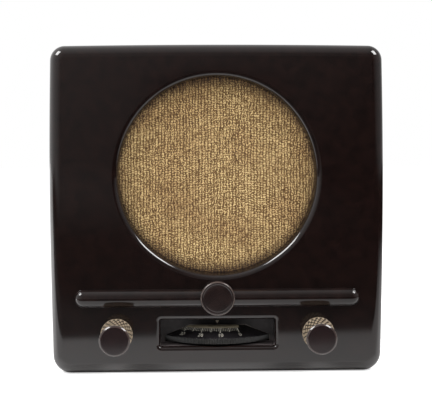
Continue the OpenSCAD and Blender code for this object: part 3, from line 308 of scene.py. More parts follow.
def recess(s):
    """The dial recess: a rolled lip, walls, the back with the wheel's slot, and the outside behind it."""
    z0, z1, half, corner = 20 * MM, 39.6 * MM, s.recess_half, 1.3 * MM
    back = s.recess_depth
    steps = curl(3 * MM) + [(0, back - 0.6 * MM), (-0.2 * MM, back - 0.2 * MM), (-0.6 * MM, back)]
    loops = [at_depth(rounded(half + g, z0 - g, z1 + g, corner + g), d) for g, d in steps]
    # The slot widens backwards, to clear the wheel
    for g, d in [(0.5, 0), (0.2, 0.15), (0, 0.4), (1.8, 2)]:
        loops.append(at_depth(slot(g * MM), back + d * MM))
    house = rounded(half + s.wall, z0 - s.wall + 0.5 * MM, z1 + s.wall, corner + s.wall)
    return np.stack([*loops, at_depth(house, back + 2 * MM), at_depth(house, s.wall)])


class Outline:
    """The outline of the moulded shell, as flat loops round the axis of depth."""

    def __init__(self, s):
        self.s = s
        self.half = cab_hi.x + 0.5 * MM
        self.high = cab_hi.z
        self.shoulder = self.high - s.corner_radius
        self.low_flat = self.half - s.foot_radius
        self.side = stretches([s.foot_radius, JOIN_Z, SEAM_Z, self.shoulder], [LOW, CORNER, HIGH])
        self.bottom = stretches([-self.low_flat, -SLOT_HALF, SLOT_HALF, self.low_flat], [THIRD] * 3)

    def bowed(self, p):
        """Bulges the sides and crowns the top: x shrinks with the square of the distance from half height,
        and z with the square of the distance from the middle."""
        u = 2 * p[:, 1] / self.high - 1
        v = p[:, 0] / self.half
        x = p[:, 0] * (1 - self.s.side_bow / self.half * u * u)
        z = p[:, 1] * (1 - self.s.top_bow / self.high * v * v)
        return np.stack([x, z], 1)

    def ring(self, margin):
        """The outline drawn in by a margin: four corner arcs and the straight stretches between them."""
        s = self.s
        r, foot = s.corner_radius - margin, s.foot_radius - margin
        x, top, x_low, low = self.half - s.corner_radius, self.shoulder, self.low_flat, s.foot_radius
        edge, crown = self.half - margin, self.high - margin
        left, right = [np.stack([np.full(len(self.side), k * edge), self.side], 1) for k in (-1, 1)]
        bottom = np.stack([self.bottom, np.full(len(self.bottom), margin)], 1)
        upper = [arc(x, top, r, 0, CORNER), line((x, crown), (-x, crown), TOP), arc(-x, top, r, 90, CORNER)]
        lower = [arc(-x_low, low, foot, 180, CORNER), bottom, arc(x_low, low, foot, 270, CORNER)]
        return self.bowed(np.concatenate([*upper, left[::-1], *lower, right]))

    def halves(self, margin):
        """The outline cut at the seam behind the bar, as the loop above it and the loop below it."""
        ring = self.ring(margin)
        right = len(ring) - len(self.side) + LOW + CORNER - 1
        left = 2 * (CORNER + 1) + TOP - 1 + HIGH - 1
        x = self.bottom * (self.half - margin) / self.low_flat
        seam = self.bowed(np.stack([x, np.full(len(x), SEAM_Z)], 1))
        upper = np.concatenate([ring[right:], ring[: left + 1], seam])
        lower = np.concatenate([ring[right - CORNER : right + 1], seam[::-1], ring[left : right - CORNER]])
        return upper, lower


def walls(c):
    """The outer and inner surface of the walls, with the air slots cut through the bottom."""
    wall, deep = c.s.wall, REAR_Y - FRONT_Y
    rows = [d * MM for d in sorted({d for pair in SLOT_DEPTHS for d in pair} | {100, 110})]
    steps = curl(c.s.front_radius) + [(0, d) for d in rows]
    steps += [(margin, deep - d) for margin, d in reversed(curl(MM, 5))]
    steps += [(wall - 0.3 * MM, deep), (wall, deep - 0.3 * MM)]
    steps += [(wall, d) for d in reversed(rows)] + [(wall, wall)]
    points = np.stack([at_depth(c.ring(margin), d) for margin, d in steps])
    keep = np.ones((len(steps) - 1, points.shape[1]), bool)
    start = 3 * (CORNER + 1) + TOP - 1 + len(c.side) - 1 + THIRD
    span = np.arange(start, start + THIRD + 1)
    parts = []
    for d0, d1 in SLOT_DEPTHS:
        outer, inner = steps.index((0, d0 * MM)), steps.index((wall, d1 * MM))
        keep[outer, span[:-1]] = False
        keep[inner, span[:-1]] = False
        outer_loop = np.concatenate([points[outer, span], points[outer + 1, span][::-1]])
        inner_loop = np.concatenate([points[inner + 1, span], points[inner, span][::-1]])
        parts.append(grid(np.stack([outer_loop, inner_loop])))
    return [grid(points, keep=keep), *parts]


def shell(c):
    """Every surface of the shell, each a stack of loops at their depths, and each face's finish."""
    wall = c.s.wall
    front_upper, front_lower = c.halves(c.s.front_radius)
    inner_upper, inner_lower = c.halves(wall)
    round_part, hollow = opening(c.s, front_upper), recess(c.s)
    parts = [
        grid(np.stack([round_part[0], at_depth(front_upper, 0)])),
        grid(round_part),
        grid(np.stack([round_part[-1], at_depth(inner_upper, wall)])),
        grid(np.stack([hollow[0], at_depth(front_lower, 0)])),
        grid(hollow),
        grid(np.stack([hollow[-1], at_depth(inner_lower, wall)])),
        *walls(c),
        *inside(c),
    ]
    recess_shade_and_edge_highlight = np.zeros(sum(len(f) for _, f in parts), int)
    first = sum(len(f) for _, f in parts[:4])
    for index, rows in enumerate((DUST_AND_SHADE_ROWS, SLOT_HIGHLIGHT_ROWS), 1):
        start, end = [first + row * hollow.shape[1] for row in rows]
        recess_shade_and_edge_highlight[start:end] = index
    return joined(*parts), recess_shade_and_edge_highlight


def rod(x, z, r, y0, y1):
    """A rod along the depth: its half profile turned round its axis."""
    edge = 0.5 * MM
    profile = [(0, y0), (r - edge, y0), (r, y0 + edge), (r, y1 - edge), (r - edge, y1), (0, y1)]
    return turned(profile, (x, z), "Y", 32)


def inside(c):
    """The corner bosses and the posts of the baffle board, which are rods with bevelled ends, and the
    ledges of the chassis board: a rounded section carried back, its outer side sunk in the wall."""
    s = c.s
    board_lo, board_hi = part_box("chassis_board")
    baffle_lo, baffle_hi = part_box("baffle_board")
    cover_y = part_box("back_cover")[0].y
    boss_r, boss_long, boss_x = 7.5 * MM, 30 * MM, cab_hi.x - 11.6 * MM
    post_r, post_off = 5 * MM, (baffle_hi.x - baffle_lo.x) / 2 - 9 * MM
    ledge_half, ledge_high, ledge_x = 6 * MM, 5 * MM, c.half - 8.8 * MM
    parts = []
    for sx in (-1, 1):
        for z in (10.4 * MM, c.high - 10.8 * MM):
            parts.append(rod(sx * boss_x, z, boss_r, cover_y - boss_long, cover_y))
        for z in (OPEN_Z - post_off, OPEN_Z + post_off):
            parts.append(rod(sx * post_off, z, post_r, FRONT_Y + s.wall - 0.5 * MM, baffle_lo.y))
        section = rounded(ledge_half, board_lo.z - ledge_high, board_lo.z, 0.6 * MM)
        section = section + [sx * ledge_x, 0]
        ends = [at_depth(section, y - FRONT_Y) for y in (board_lo.y, board_hi.y)]
        middle = [np.broadcast_to(e.mean(0), e.shape) for e in ends]
        parts.append(grid(np.stack([middle[0], *ends, middle[1]])))
    return parts


# Finishes. Each pattern's scale comes from a real size, and every one reads the object's own coordinates.


class Value:
    """What a node hands on: a number, place, colour or shader. Its methods add nodes that work on it."""

    def __init__(self, tree, node, output):
        self.tree, self.node, self.output = tree, node, output

    def out(self, output):
        """Another output of the same node."""
        return Value(self.tree, self.node, output)

    def math(self, operation, other=0.0):
        """One step of arithmetic with a number or another value."""
        return add(self, "Math", {"operation": operation}, i0=self, i1=other)

    def __add__(self, other):
        return self.math("ADD", other)

    def __sub__(self, other):
        return self.math("SUBTRACT", other)

    def __mul__(self, other):
        return self.math("MULTIPLY", other)

    def rise(self, start, end):
        """From 0 at start to 1 at end."""
        return self.spread(0.0, 1.0, start, end)

    def spread(self, low, high, start=0.0, end=1.0):
        """Stretches start..end onto low..high, and stays at low or high beyond them."""
        ends = {"From_Min": start, "From_Max": end, "To_Min": low, "To_Max": high}
        return add(self, "MapRange", Value=self, **ends)

    def ramp(self, *stops):
        """A colour ramp through (place, hex value) stops."""
        colours = add(self, "ValToRGB", Fac=self)
        e = colours.node.color_ramp.elements
        while len(e) < len(stops):
            e.new(0.5)
        for stop, (place, value) in zip(e, stops):
            stop.position = place
            stop.color = linear(value)
        return colours

    def times(self, colour, share):
        """A colour multiplied by a share of another colour."""
        kind = {"data_type": "RGBA", "blend_type": "MULTIPLY"}
        return add(self, "Mix", kind, output=2, i0=share, i6=self, i7=colour)

    def axes(self):
        """The x, y and z of a place."""
        split = add(self, "SeparateXYZ", Vector=self)
        return [split.out(axis) for axis in "XYZ"]

    def scaled(self, *scale):
        """A place scaled along x, y and z."""
        return add(self, "Mapping", Vector=self, Scale=scale)

    def noise(self, scale, detail=3.0, rough=0.55):
        """Even noise over places, with about scale lumps to the metre."""
        return add(self, "TexNoise", Vector=self, Scale=scale, Detail=detail, Roughness=rough)

    def bump(self, distance, strength):
        """The bump of a height that stands for so many metres at its full strength."""
        return add(self, "Bump", Height=self, Distance=distance, Strength=strength)


def add(tree, kind, settings=None, output=0, **inputs):
    """Adds one shader node to a tree, or to a value's tree, and gives one of its outputs. settings are its
    properties. An input goes by its name, or by the letter i and its number."""
    tree = getattr(tree, "tree", tree)
    node = tree.nodes.new("ShaderNode" + kind)
    for key, value in (settings or {}).items():
        setattr(node, key, value)
    for key, value in inputs.items():
        key = int(key[1:]) if key[0] == "i" and key[1:].isdigit() else key.replace("_", " ")
        if isinstance(value, Value):
            tree.links.new(value.node.outputs[value.output], node.inputs[key])
        else:
            node.inputs[key].default_value = value
    return Value(tree, node, output)


def begin(name):
    """An empty material and the object's own coordinates in it."""
    m = bpy.data.materials.new(name)
    m.use_nodes = True
    m.node_tree.nodes.clear()
    return m, add(m.node_tree, "TexCoord", output="Object")


def surface(m, **inputs):
    """Ends a material with its Principled shader."""
    shader = add(m.node_tree, "BsdfPrincipled", **inputs)
    add(m.node_tree, "OutputMaterial", Surface=shader)
    return m


def moulded(name, dark, light, rough, grime=0.08, gloss=0.5):
    """Bakelite, compression moulded and polished: deep brown with flow mottle 8 mm across, a high gloss
    dulled in patches by handling, and a skin that waves very slightly from the mould."""
    m, place = begin(name)
    return surface(
        m,
        Base_Color=place.noise(120.0, 5.0, 0.6).ramp((0.35, dark), (0.75, light)),
        Roughness=place.noise(28.0, 4.0, 0.6).spread(rough, rough + grime),
        Specular_IOR_Level=gloss,
        IOR=1.55,
        Normal=place.noise(16.0, 1.0).bump(0.0002, 0.25),
    )


def dust_and_shade(name):
    """Unpolished bakelite in the dial's hollow, with dust and painted shade: black in the middle, a painted
    shade for the shadow under the boss and the recess's top, and greyer and duller from 12 mm outwards to
    both ends, most on the floor there, partly dust and partly painted light where the lamps reach in."""
    m, place = begin(name)
    x, _, z = place.axes()
    # Painted shade and light: the mask is darkest in the middle of the recess and lightest at its ends and
    # on its floor, partly dust
    ends = x.math("ABSOLUTE").rise(0.012, 0.032)
    floor = z.spread(0.45, 1.0, 0.026, 0.0205)
    dust_and_shade_mask = ends * (floor * place.noise(250.0, 4.0).spread(0.6, 1.4))
    return surface(
        m,
        Base_Color=dust_and_shade_mask.ramp((0.0, "#0b0909"), (0.45, "#2f2b2b"), (1.0, "#5a5252")),
        Roughness=dust_and_shade_mask.spread(0.4, 0.7),
        Specular_IOR_Level=dust_and_shade_mask.spread(0.06, 0.5),
    )


def worn(name, deep, high):
    """Knurled bakelite worn by fingers: its crests are rubbed to a pale grey brown, and its grooves stay
    dark and full of old grime. The piece's own height attribute tells crests from grooves."""
    m, place = begin(name)
    height = add(place, "Attribute", {"attribute_name": "height"}, "Fac")
    rubbed = height + (place.noise(420.0) * 0.9 - 0.5)
    colour = rubbed.ramp((0.3, deep), (0.55, "#3f3226"), (0.85, high))
    return surface(m, Base_Color=colour, Roughness=height.spread(0.6, 0.35))


def metal(name, dark, light, rough, brushed=0.0):
    """A plain metal with fine turning or rolling marks half a millimetre apart and patches of tarnish."""
    m, place = begin(name)
    tarnish = place.noise(220.0, 4.0)
    colour, haze = tarnish.ramp((0.3, dark), (0.7, light)), tarnish.spread(rough, rough + 0.1)
    marks = {"Normal": place.scaled(1, 1, 12).noise(300.0, 2.0).bump(0.00005, brushed)} if brushed else {}
    return surface(m, Base_Color=colour, Metallic=1.0, Roughness=haze, **marks)


def board(name, dark, light, rough, size=260.0, grain=(1, 1, 1)):
    """Pressed board, card or hard paper: fibres a few millimetres long in two tones, and a rough skin."""
    m, place = begin(name)
    fibres = place.scaled(*grain).noise(size, 6.0, 0.65)
    colour, haze = fibres.ramp((0.3, dark), (0.7, light)), fibres.spread(rough, rough + 0.15)
    return surface(m, Base_Color=colour, Roughness=haze, Normal=fibres.bump(0.0002, 0.35))


def weave(name):
    """Ribbed woven cloth of coarse thread: upright ribs 2.2 mm apart that wander a little, slubs along
    them, every stitch lighter or darker by chance, a few deep gaps, and brown stains from smoke and dust.
    A rib and a stitch are each one minus the square of the distance from their middle, and their product is
    the height. The height also sets the colour, so the crowns are painted lighter and the hollows darker, a
    painted shade of the relief."""
    ribs_per_metre, stitches_per_metre, past_nought = 446.0, 560.0, 100.0
    m, place = begin(name)
    x, _, z = place.axes()
    sway = place.noise(60.0)
    jitter = place.scaled(1, 1, 0.35).noise(400.0, 2.0)
    across = (jitter * 0.0019 + (sway * 0.0022 + x)) * ribs_per_metre + past_nought
    rib = across.math("FLOOR")
    off = across.math("FRACT") - 0.5
    chance = add(place, "TexWhiteNoise", {"noise_dimensions": "1D"}, "Value", W=rib)
    along = (z * stitches_per_metre + past_nought) + chance * 7.0 + sway * 3.0
    rise = along.math("FRACT") - 0.5
    cell = add(place, "CombineXYZ", X=rib, Y=along.math("FLOOR"), Z=0.0)
    stitch = add(place, "TexWhiteNoise", {"noise_dimensions": "3D"}, "Value", Vector=cell)
    height = (off * off * -3.4 + 1.0) * (rise * rise * -2.4 + 1.0)
    streak = place.scaled(1, 1, 0.3).noise(620.0)
    fuzz = place.noise(1350.0, 1.0)
    tone = (stitch * 0.5 - 0.25) + (streak * 0.25 - 0.125) + (fuzz * 5.4 - 2.7)
    # Painted shade: the thread crowns are painted lighter and the hollows between them darker, as the
    # weave's relief is lit, on top of the threads' own random tones
    relief_shade_and_tone = (height * 1.25 - 0.36) + tone
    threads = relief_shade_and_tone.ramp((0.0, "gap"), (0.48, "#89683b"), (1.0, "thread"))
    stain = place.noise(24.0, 4.0, 0.6).ramp((0.38, "#b8946a"), (0.58, "#ffffff"))
    # Painted shade: the cloth darkens towards the edge of the opening, most at the top and the bottom
    off_x, off_z = x * 0.94, z - OPEN_Z
    reach = (off_x * off_x + off_z * off_z).math("SQRT")
    edge_shade = reach.rise(0.0622, 0.0708).ramp((0.0, "#ffffff"), (1.0, "#83725a"))
    return surface(
        m,
        Base_Color=threads.times(stain, 0.35).times(edge_shade, 1.0),
        Roughness=0.85,
        Sheen_Weight=0.15,
        Normal=(height + fuzz * 0.5).bump(0.0004, 0.8),
    )


def plain(name, colour, rough, spots=None):
    """A painted, glazed or printed coat: one colour that drifts slightly, with a grain of fine specks."""
    m, place = begin(name)
    drift = place.noise(90.0, 4.0)
    colour = drift.ramp((0.3, colour), (0.7, spots or colour))
    return surface(m, Base_Color=colour, Roughness=drift.spread(rough, rough + 0.1))


def glass(name):
    """Blown soda-lime glass of a valve: thin, clear and slightly smoky."""
    m, place = begin(name)
    haze = place.noise(60.0).spread(0.02, 0.08)
    return surface(m, Base_Color=linear("#dfe5e2"), Transmission_Weight=0.9, IOR=1.5, Roughness=haze)


# Each finish: the function that makes it, the material's name and its settings
FINISHES = {
    "bakelite": (moulded, "polished_bakelite", "bakelite", "#1b100e", 0.06, 0.05),
    # The recess: dust with painted shade and painted light
    "recess": (dust_and_shade, "dusty_bakelite"),
    # The slot's edge: a painted highlight, pale where light catches it
    "slot_edge_highlight": (plain, "rubbed_slot_edge", "#5b544e", 0.5, "#3d3834"),
    "trim": (moulded, "polished_bakelite_trim", "bakelite", "#1d1210", 0.06, 0.05, 0.42),
    "boss": (moulded, "polished_bakelite_boss", "#1a1211", "#261b19", 0.1),
    # The boss's rounded edge: painted paler than the boss, a painted reflection
    "boss_rim_sheen": (plain, "rubbed_bakelite_rim", "#4a403c", 0.16, "#352b29"),
    "knob_cap": (moulded, "handled_bakelite_cap", "knob", "#221616", 0.13, 0.06, 0.36),
    # The bevel: the cap's bakelite painted lighter, a painted sheen where it catches the lamps
    "knob_bevel_sheen": (moulded, "polished_bakelite_bevel", "#2a1f1d", "#3a2c28", 0.06, 0.02),
    "knob_skirt": (worn, "worn_bakelite_skirt", "#0f0a07", "#a89780"),
    # The knob's edge: pale partly from wear and partly as a painted reflection of the light room
    "knob_edge_wear_and_sheen": (plain, "rubbed_bakelite_edge", "#8a8179", 0.3, "#655d56"),
    "dial": (moulded, "dial_bakelite", "#1b191b", "#272426", 0.24),
    "dial_rim": (moulded, "dial_rim_bakelite", "#1f1e1d", "#2f2d2b", 0.25),
    "print": (plain, "printing_ink", "scale_print", 0.6),
    "mark": (plain, "faded_ink", "#75695a", 0.6, "#5f5548"),
    "band": (plain, "printed_band", "scale_band", 0.6, "#a1957c"),
    "cloth": (weave, "ribbed_cloth"),
    "board": (board, "pressed_board", "#4a3320", "#73543a", 0.7),
    "back": (board, "lacquered_back_board", "#33241a", "#4b3626", 0.5),
    "card": (board, "grey_card", "#54463a", "#6e5e4e", 0.8),
    "leather": (board, "split_leather", "#5e4128", "#7d5a3a", 0.65, 700.0),
    "paper": (board, "pressed_cone_paper", "#b79f76", "#d2bd92", 0.8, 500.0),
    "steel": (metal, "plated_steel", "#8c8a84", "#aaa79f", 0.32, 0.4),
    "basket": (metal, "pressed_steel", "#6a665f", "#858078", 0.45, 0.3),
    "magnet": (metal, "magnet_steel", "#3a3d42", "#4c4f55", 0.5),
    "brass": (metal, "turned_brass", "#a88645", "#c6a560", 0.3, 0.5),
    "aluminium": (metal, "stamped_aluminium", "#a9a8a4", "#c4c3bf", 0.35, 0.4),
    "hard_paper": (board, "varnished_hard_paper", "#5d3519", "#8a5930", 0.3, 260.0, (1, 4, 1)),
    "copper": (metal, "enamelled_copper_wire", "#8a4a26", "#a9622f", 0.35),
    "sleeve": (board, "varnished_cotton_sleeve", "#5c421f", "#8a6732", 0.6, 900.0),
    "shield": (metal, "sprayed_metal_coat", "#9a9790", "#b3b0a8", 0.55),
    "glass": (glass, "valve_glass"),
    "moulding": (moulded, "black_moulding", "#171313", "#241e1c", 0.3),
    "can": (board, "varnished_wax_can", "#5a5240", "#776d55", 0.5),
    "ceramic": (plain, "glazed_ceramic", "#6e7a5c", 0.3, "#5d6a4e"),
    "waxed": (board, "waxed_paper", "#b0904e", "#cfb076", 0.45),
    "rubber": (plain, "black_rubber", "#25201e", 0.7, "#302a27"),
}
made = {}


def finish(key):
    """A finish, made when it is first asked for."""
    if key not in made:
        make, *settings = FINISHES[key]
        made[key] = make(*settings)
    return made[key]


def dress(**groups):
    """Gives solids their finish, merges their loose triangles and smooths them between sharp edges. A
    group is a finish with the names of its solids."""
    for key, names in groups.items():
        for name in names.split():
            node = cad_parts[name]
            node.data.materials.clear()
            node.data.materials.append(finish(key))
            node.data.shade_smooth()
            node.modifiers.new("merged", "WELD").merge_threshold = 1e-6
            node.modifiers.new("sharp", "EDGE_SPLIT").split_angle = math.radians(32)
    return {"FINISHED"}


class RADIO_OT_cabinet(bpy.types.Operator):
    """Make the moulded cabinet with its opening, dial recess and air slots"""

    bl_idname = "radio.cabinet"
    bl_label = "Cabinet"

    def execute(self, context):
        sizes = context.scene.radio_sizes
        part, recess_shade_and_edge_highlight = shell(Outline(sizes))
        # The third finish is a painted highlight along the slot's edge
        dressed = [finish("bakelite"), finish("recess"), finish("slot_edge_highlight")]
        piece = build("cabinet_shell", part, dressed, slots=recess_shade_and_edge_highlight)
        # Large flat faces set the shading at the rounded edges beside them
        piece.modifiers.new("weighted", "WEIGHTED_NORMAL").keep_sharp = True
        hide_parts("cabinet")
        # A small pointer over the middle of the scale, printed on the back of the recess
        y, z, half, high = FRONT_Y + sizes.recess_depth - 0.05 * MM, 33.7 * MM, 1.3 * MM, 2.4 * MM
        corners = np.array([[0, y, z], [half, y, z + high], [0, y, z + high], [-half, y, z + high]])
        mark = build("index_mark", (corners, np.array([[0, 1, 2, 3]])), [finish("mark")], outward=False)
        return {"FINISHED"}


class RADIO_OT_trim(bpy.types.Operator):
    """Make the bar across the front and the plain round boss on it"""

    bl_idname = "radio.trim"
    bl_label = "Bar and boss"

    def execute(self, context):
        s = context.scene.radio_sizes
        # Loops shaped like a running track, each drawn in by a margin at its own depth: a hollow quarter
        # circle against the face, then a quarter of an ellipse up to the crown.
        sunk = 1.5 * MM
        f, r, crown = s.bar_fillet, s.bar_radius, 5.6 * MM
        a = np.radians(np.linspace(0, 90, 9))
        b = np.radians(np.linspace(0, 90, 17))[1:]
        margin = np.concatenate([[-f], f * np.sin(a) - f, r - r * np.cos(b)])
        depth = np.concatenate([[sunk], f * np.cos(a) - f, -f - (crown - f) * np.sin(b)])
        turn = np.radians(np.linspace(-90, 90, 25))
        sweep = np.concatenate([turn, turn + np.pi])
        end = np.repeat([1, -1], len(turn)) * (s.bar_half - r)
        x = end + (r - margin)[:, None] * np.cos(sweep)
        z = s.bar_height + (r - margin)[:, None] * np.sin(sweep)
        points = np.stack([x, FRONT_Y + depth[:, None] + 0 * x, z], -1)
        capped = np.stack([0 * points[0] + [0, points[0, 0, 1], s.bar_height], *points])
        bar = build("front_bar", grid(capped), [finish("trim")])
        # The boss: its side, a rounded edge painted pale as a painted reflection, a raised rim and a barely
        # domed middle
        top, r, columns = -7.2 * MM, s.medallion, 96
        profile = [(0, sunk), (r, sunk)] + [(r - d, top + margin) for margin, d in curl(1.6 * MM, 8)]
        for inset, rise in [(1.8, 0), (2.0, 0.1), (2.2, 0.25), (2.5, 0.3), (2.9, 0.2), (3.4, 0.15)]:
            profile.append((r - inset * MM, top + rise * MM))
        profile += [(0.5 * r, top + 0.13 * MM), (0.25 * r, top + 0.07 * MM), (0, top + 0.05 * MM)]
        profile = [(p, FRONT_Y + d) for p, d in profile]
        rows = np.repeat(np.arange(len(profile) - 1), columns)
        edge, dressed = (rows >= 2) & (rows < 8), [finish("boss"), finish("boss_rim_sheen")]
        part = turned(profile, (0, s.medallion_height), "Y", columns)
        build("front_boss", part, dressed, slots=edge)
        return {"FINISHED"}


class RADIO_OT_cloth(bpy.types.Operator):
    """Stretch the woven cloth behind the opening"""

    bl_idname = "radio.cloth"
    bl_label = "Speaker cloth"

    def execute(self, context):
        # A disc of rings and spokes that bulges by a tenth of a millimetre either way in two low waves
        r = np.linspace(0, 1, 40)[:, None] * CLOTH_R
        a = (2 * np.pi * np.arange(128) / 128)[None, :]
        x, z = r * np.cos(a), r * np.sin(a)
        wave = 0.1 * MM * np.sin(60 * x + 1) * np.sin(75 * z)
        wave *= np.clip(1.2 - r / (74 * MM), 0, 1)
        points = np.stack([x, cloth_lo.y + 0.15 * MM + wave, OPEN_Z + z], -1)
        piece = build("woven_cloth", grid(points), [finish("cloth")], outward=False)
        piece.modifiers.new("thickness", "SOLIDIFY").thickness = 0.5 * MM
        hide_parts("speaker_cloth")
        return {"FINISHED"}


def knob_profile():
    """Radius and depth of a knob from its back to the middle of its face: a plain ring, a knurled skirt
    that narrows by half a millimetre forwards, a groove, and a smooth cap with a bevelled edge and a
    barely domed face. The edge is followed by its slope from 0 at the side to 90 degrees at the face:
    each step is the radius of the bend there, 0.3 mm, then 5 mm along the bevel, then 0.4 mm, times the
    change of slope."""
    r = (knob_hi.x - knob_lo.x) / 2
    rear, face, dome = knob_hi.y, knob_lo.y, 0.05 * MM
    cap = face + 2.9 * MM
    back, front = r + 0.35 * MM, r - 0.3 * MM
    groove = front - 0.7 * MM
    y = np.linspace(rear - 1.1 * MM, cap + 0.5 * MM, 30)
    skirt = np.stack([np.interp(y, [y[-1], y[0]], [front, back]) - 0.25 * MM, y], 1)
    slope = np.concatenate([np.linspace(0, 40, 8), np.linspace(41.5, 54, 9), np.linspace(58, 88, 7)])
    slope = np.radians(slope)
    bend = np.repeat([0.3, 5.0, 0.4], [8, 9, 6]) * MM * np.diff(slope)
    middle = (slope[1:] + slope[:-1]) / 2
    inwards = np.concatenate([[0], np.cumsum(bend * np.sin(middle))])
    forwards = np.concatenate([[0], np.cumsum(bend * np.cos(middle))])
    nose = np.stack([front - inwards, face + dome + forwards[-1] - forwards], 1).tolist()
    ring = [(0, rear), (back - 0.4 * MM, rear), (back, rear - 0.3 * MM), (back, rear - 0.9 * MM)]
    body = [*ring, *skirt.tolist(), (groove, cap + 0.3 * MM), (groove, cap)]
    body += [(front - 0.1 * MM, cap - 0.15 * MM), (front, cap - 0.4 * MM), *nose]
    flat = nose[-1][0]
    return np.array(body + [(k * flat, face + dome * k * k) for k in np.arange(9, -1, -1) / 10])


class RADIO_OT_knobs(bpy.types.Operator):
    """Make both knobs with their knurled skirts and smooth caps"""

    bl_idname = "radio.knobs"
    bl_label = "Knobs"

    def execute(self, context):
        # Diamonds coarser than on such a knob, so that they still show at the photograph's size
        n, pitch = context.scene.radio_sizes.knurl_count, 11 * MM
        columns = n * 16
        groove_from, profile = 0.6, knob_profile()
        skirt = np.zeros((len(profile), 1))
        skirt[KNURL_ROWS] = 1

        def knurl(a, p):
            """Two sets of spiral grooves that cross: the deeper of two triangle waves of the angle plus
            and minus the place along the skirt, so that diamonds stand between them."""
            along = (p[:, 1:] - knob_lo.y) / pitch
            waves = [np.abs(2 * np.mod(n * a / (2 * np.pi) + sign * along, 1) - 1) for sign in (1, -1)]
            return -KNURL_DEPTH * np.clip((np.maximum(*waves) - groove_from) * 3, 0, 1) * skirt

        rows = np.repeat(np.arange(len(profile) - 1), columns)
        # Faces from these rows on are the skirt, the groove, the edge, pale partly from wear and partly as
        # a painted reflection, the bevel, painted lighter as a sheen, and the face
        slots = np.array([0, 1, 0, 2, 3, 0])[np.searchsorted([1, 35, 36, 45, 58], rows, "right")]
        dressed = [finish(key) for key in ("knob_cap", "knob_skirt", "knob_edge_wear_and_sheen", "knob_bevel_sheen")]
        for body, x in [("coupling", -KNOB_X), ("regeneration", KNOB_X)]:
            part = turned(profile, (x, KNOB_Z), "Y", columns, knurl)
            piece = build(body + "_knob_turned", part, dressed, body, slots)
            co = places(piece.data) - [x, 0, KNOB_Z]
            whole = np.interp(-co[:, 1], -profile[KNURL_ROWS, 1], profile[KNURL_ROWS, 0])
            high = 1 - (whole - np.hypot(co[:, 0], co[:, 2])) / KNURL_DEPTH
            height = piece.data.attributes.new("height", "FLOAT", "POINT")
            height.data.foreach_set("value", np.clip(high, 0, 1))
            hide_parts(body + "_knob")
        return {"FINISHED"}


# Where the scale's nought stands, in degrees to the right of the front, and degrees to one of its units
ZERO, UNIT = 20.9, 1.82
# Heights over the wheel's underside: the upper edge of its rim, and the upper edge of its cone
RIM_HIGH, CONE_HIGH = 4.2 * MM, 11.2 * MM
CONE_R = WHEEL_R - 11.5 * MM


def scale_at(angle, slope):
    """A point of the scale: angle in degrees to the right of the front, slope 0 at the rim and 1 at the top
    edge. It stands 0.06 mm off the cone."""
    r0, z0 = WHEEL_R - 0.6 * MM, wheel_lo.z + RIM_HIGH
    inwards, up = CONE_R - r0, CONE_HIGH - RIM_HIGH
    slope, a = np.broadcast_arrays(slope, np.radians(angle))
    out = np.array([up, -inwards]) / math.hypot(up, inwards) * 0.06 * MM
    r = r0 + inwards * slope + out[0]
    return np.stack([r * np.sin(a), WHEEL_Y - r * np.cos(a), z0 + up * slope + out[1]], -1)


def on_wheel(name, part, key):
    """A print on the scale."""
    build(name, part, [finish(key)], "tuning", outward=False)


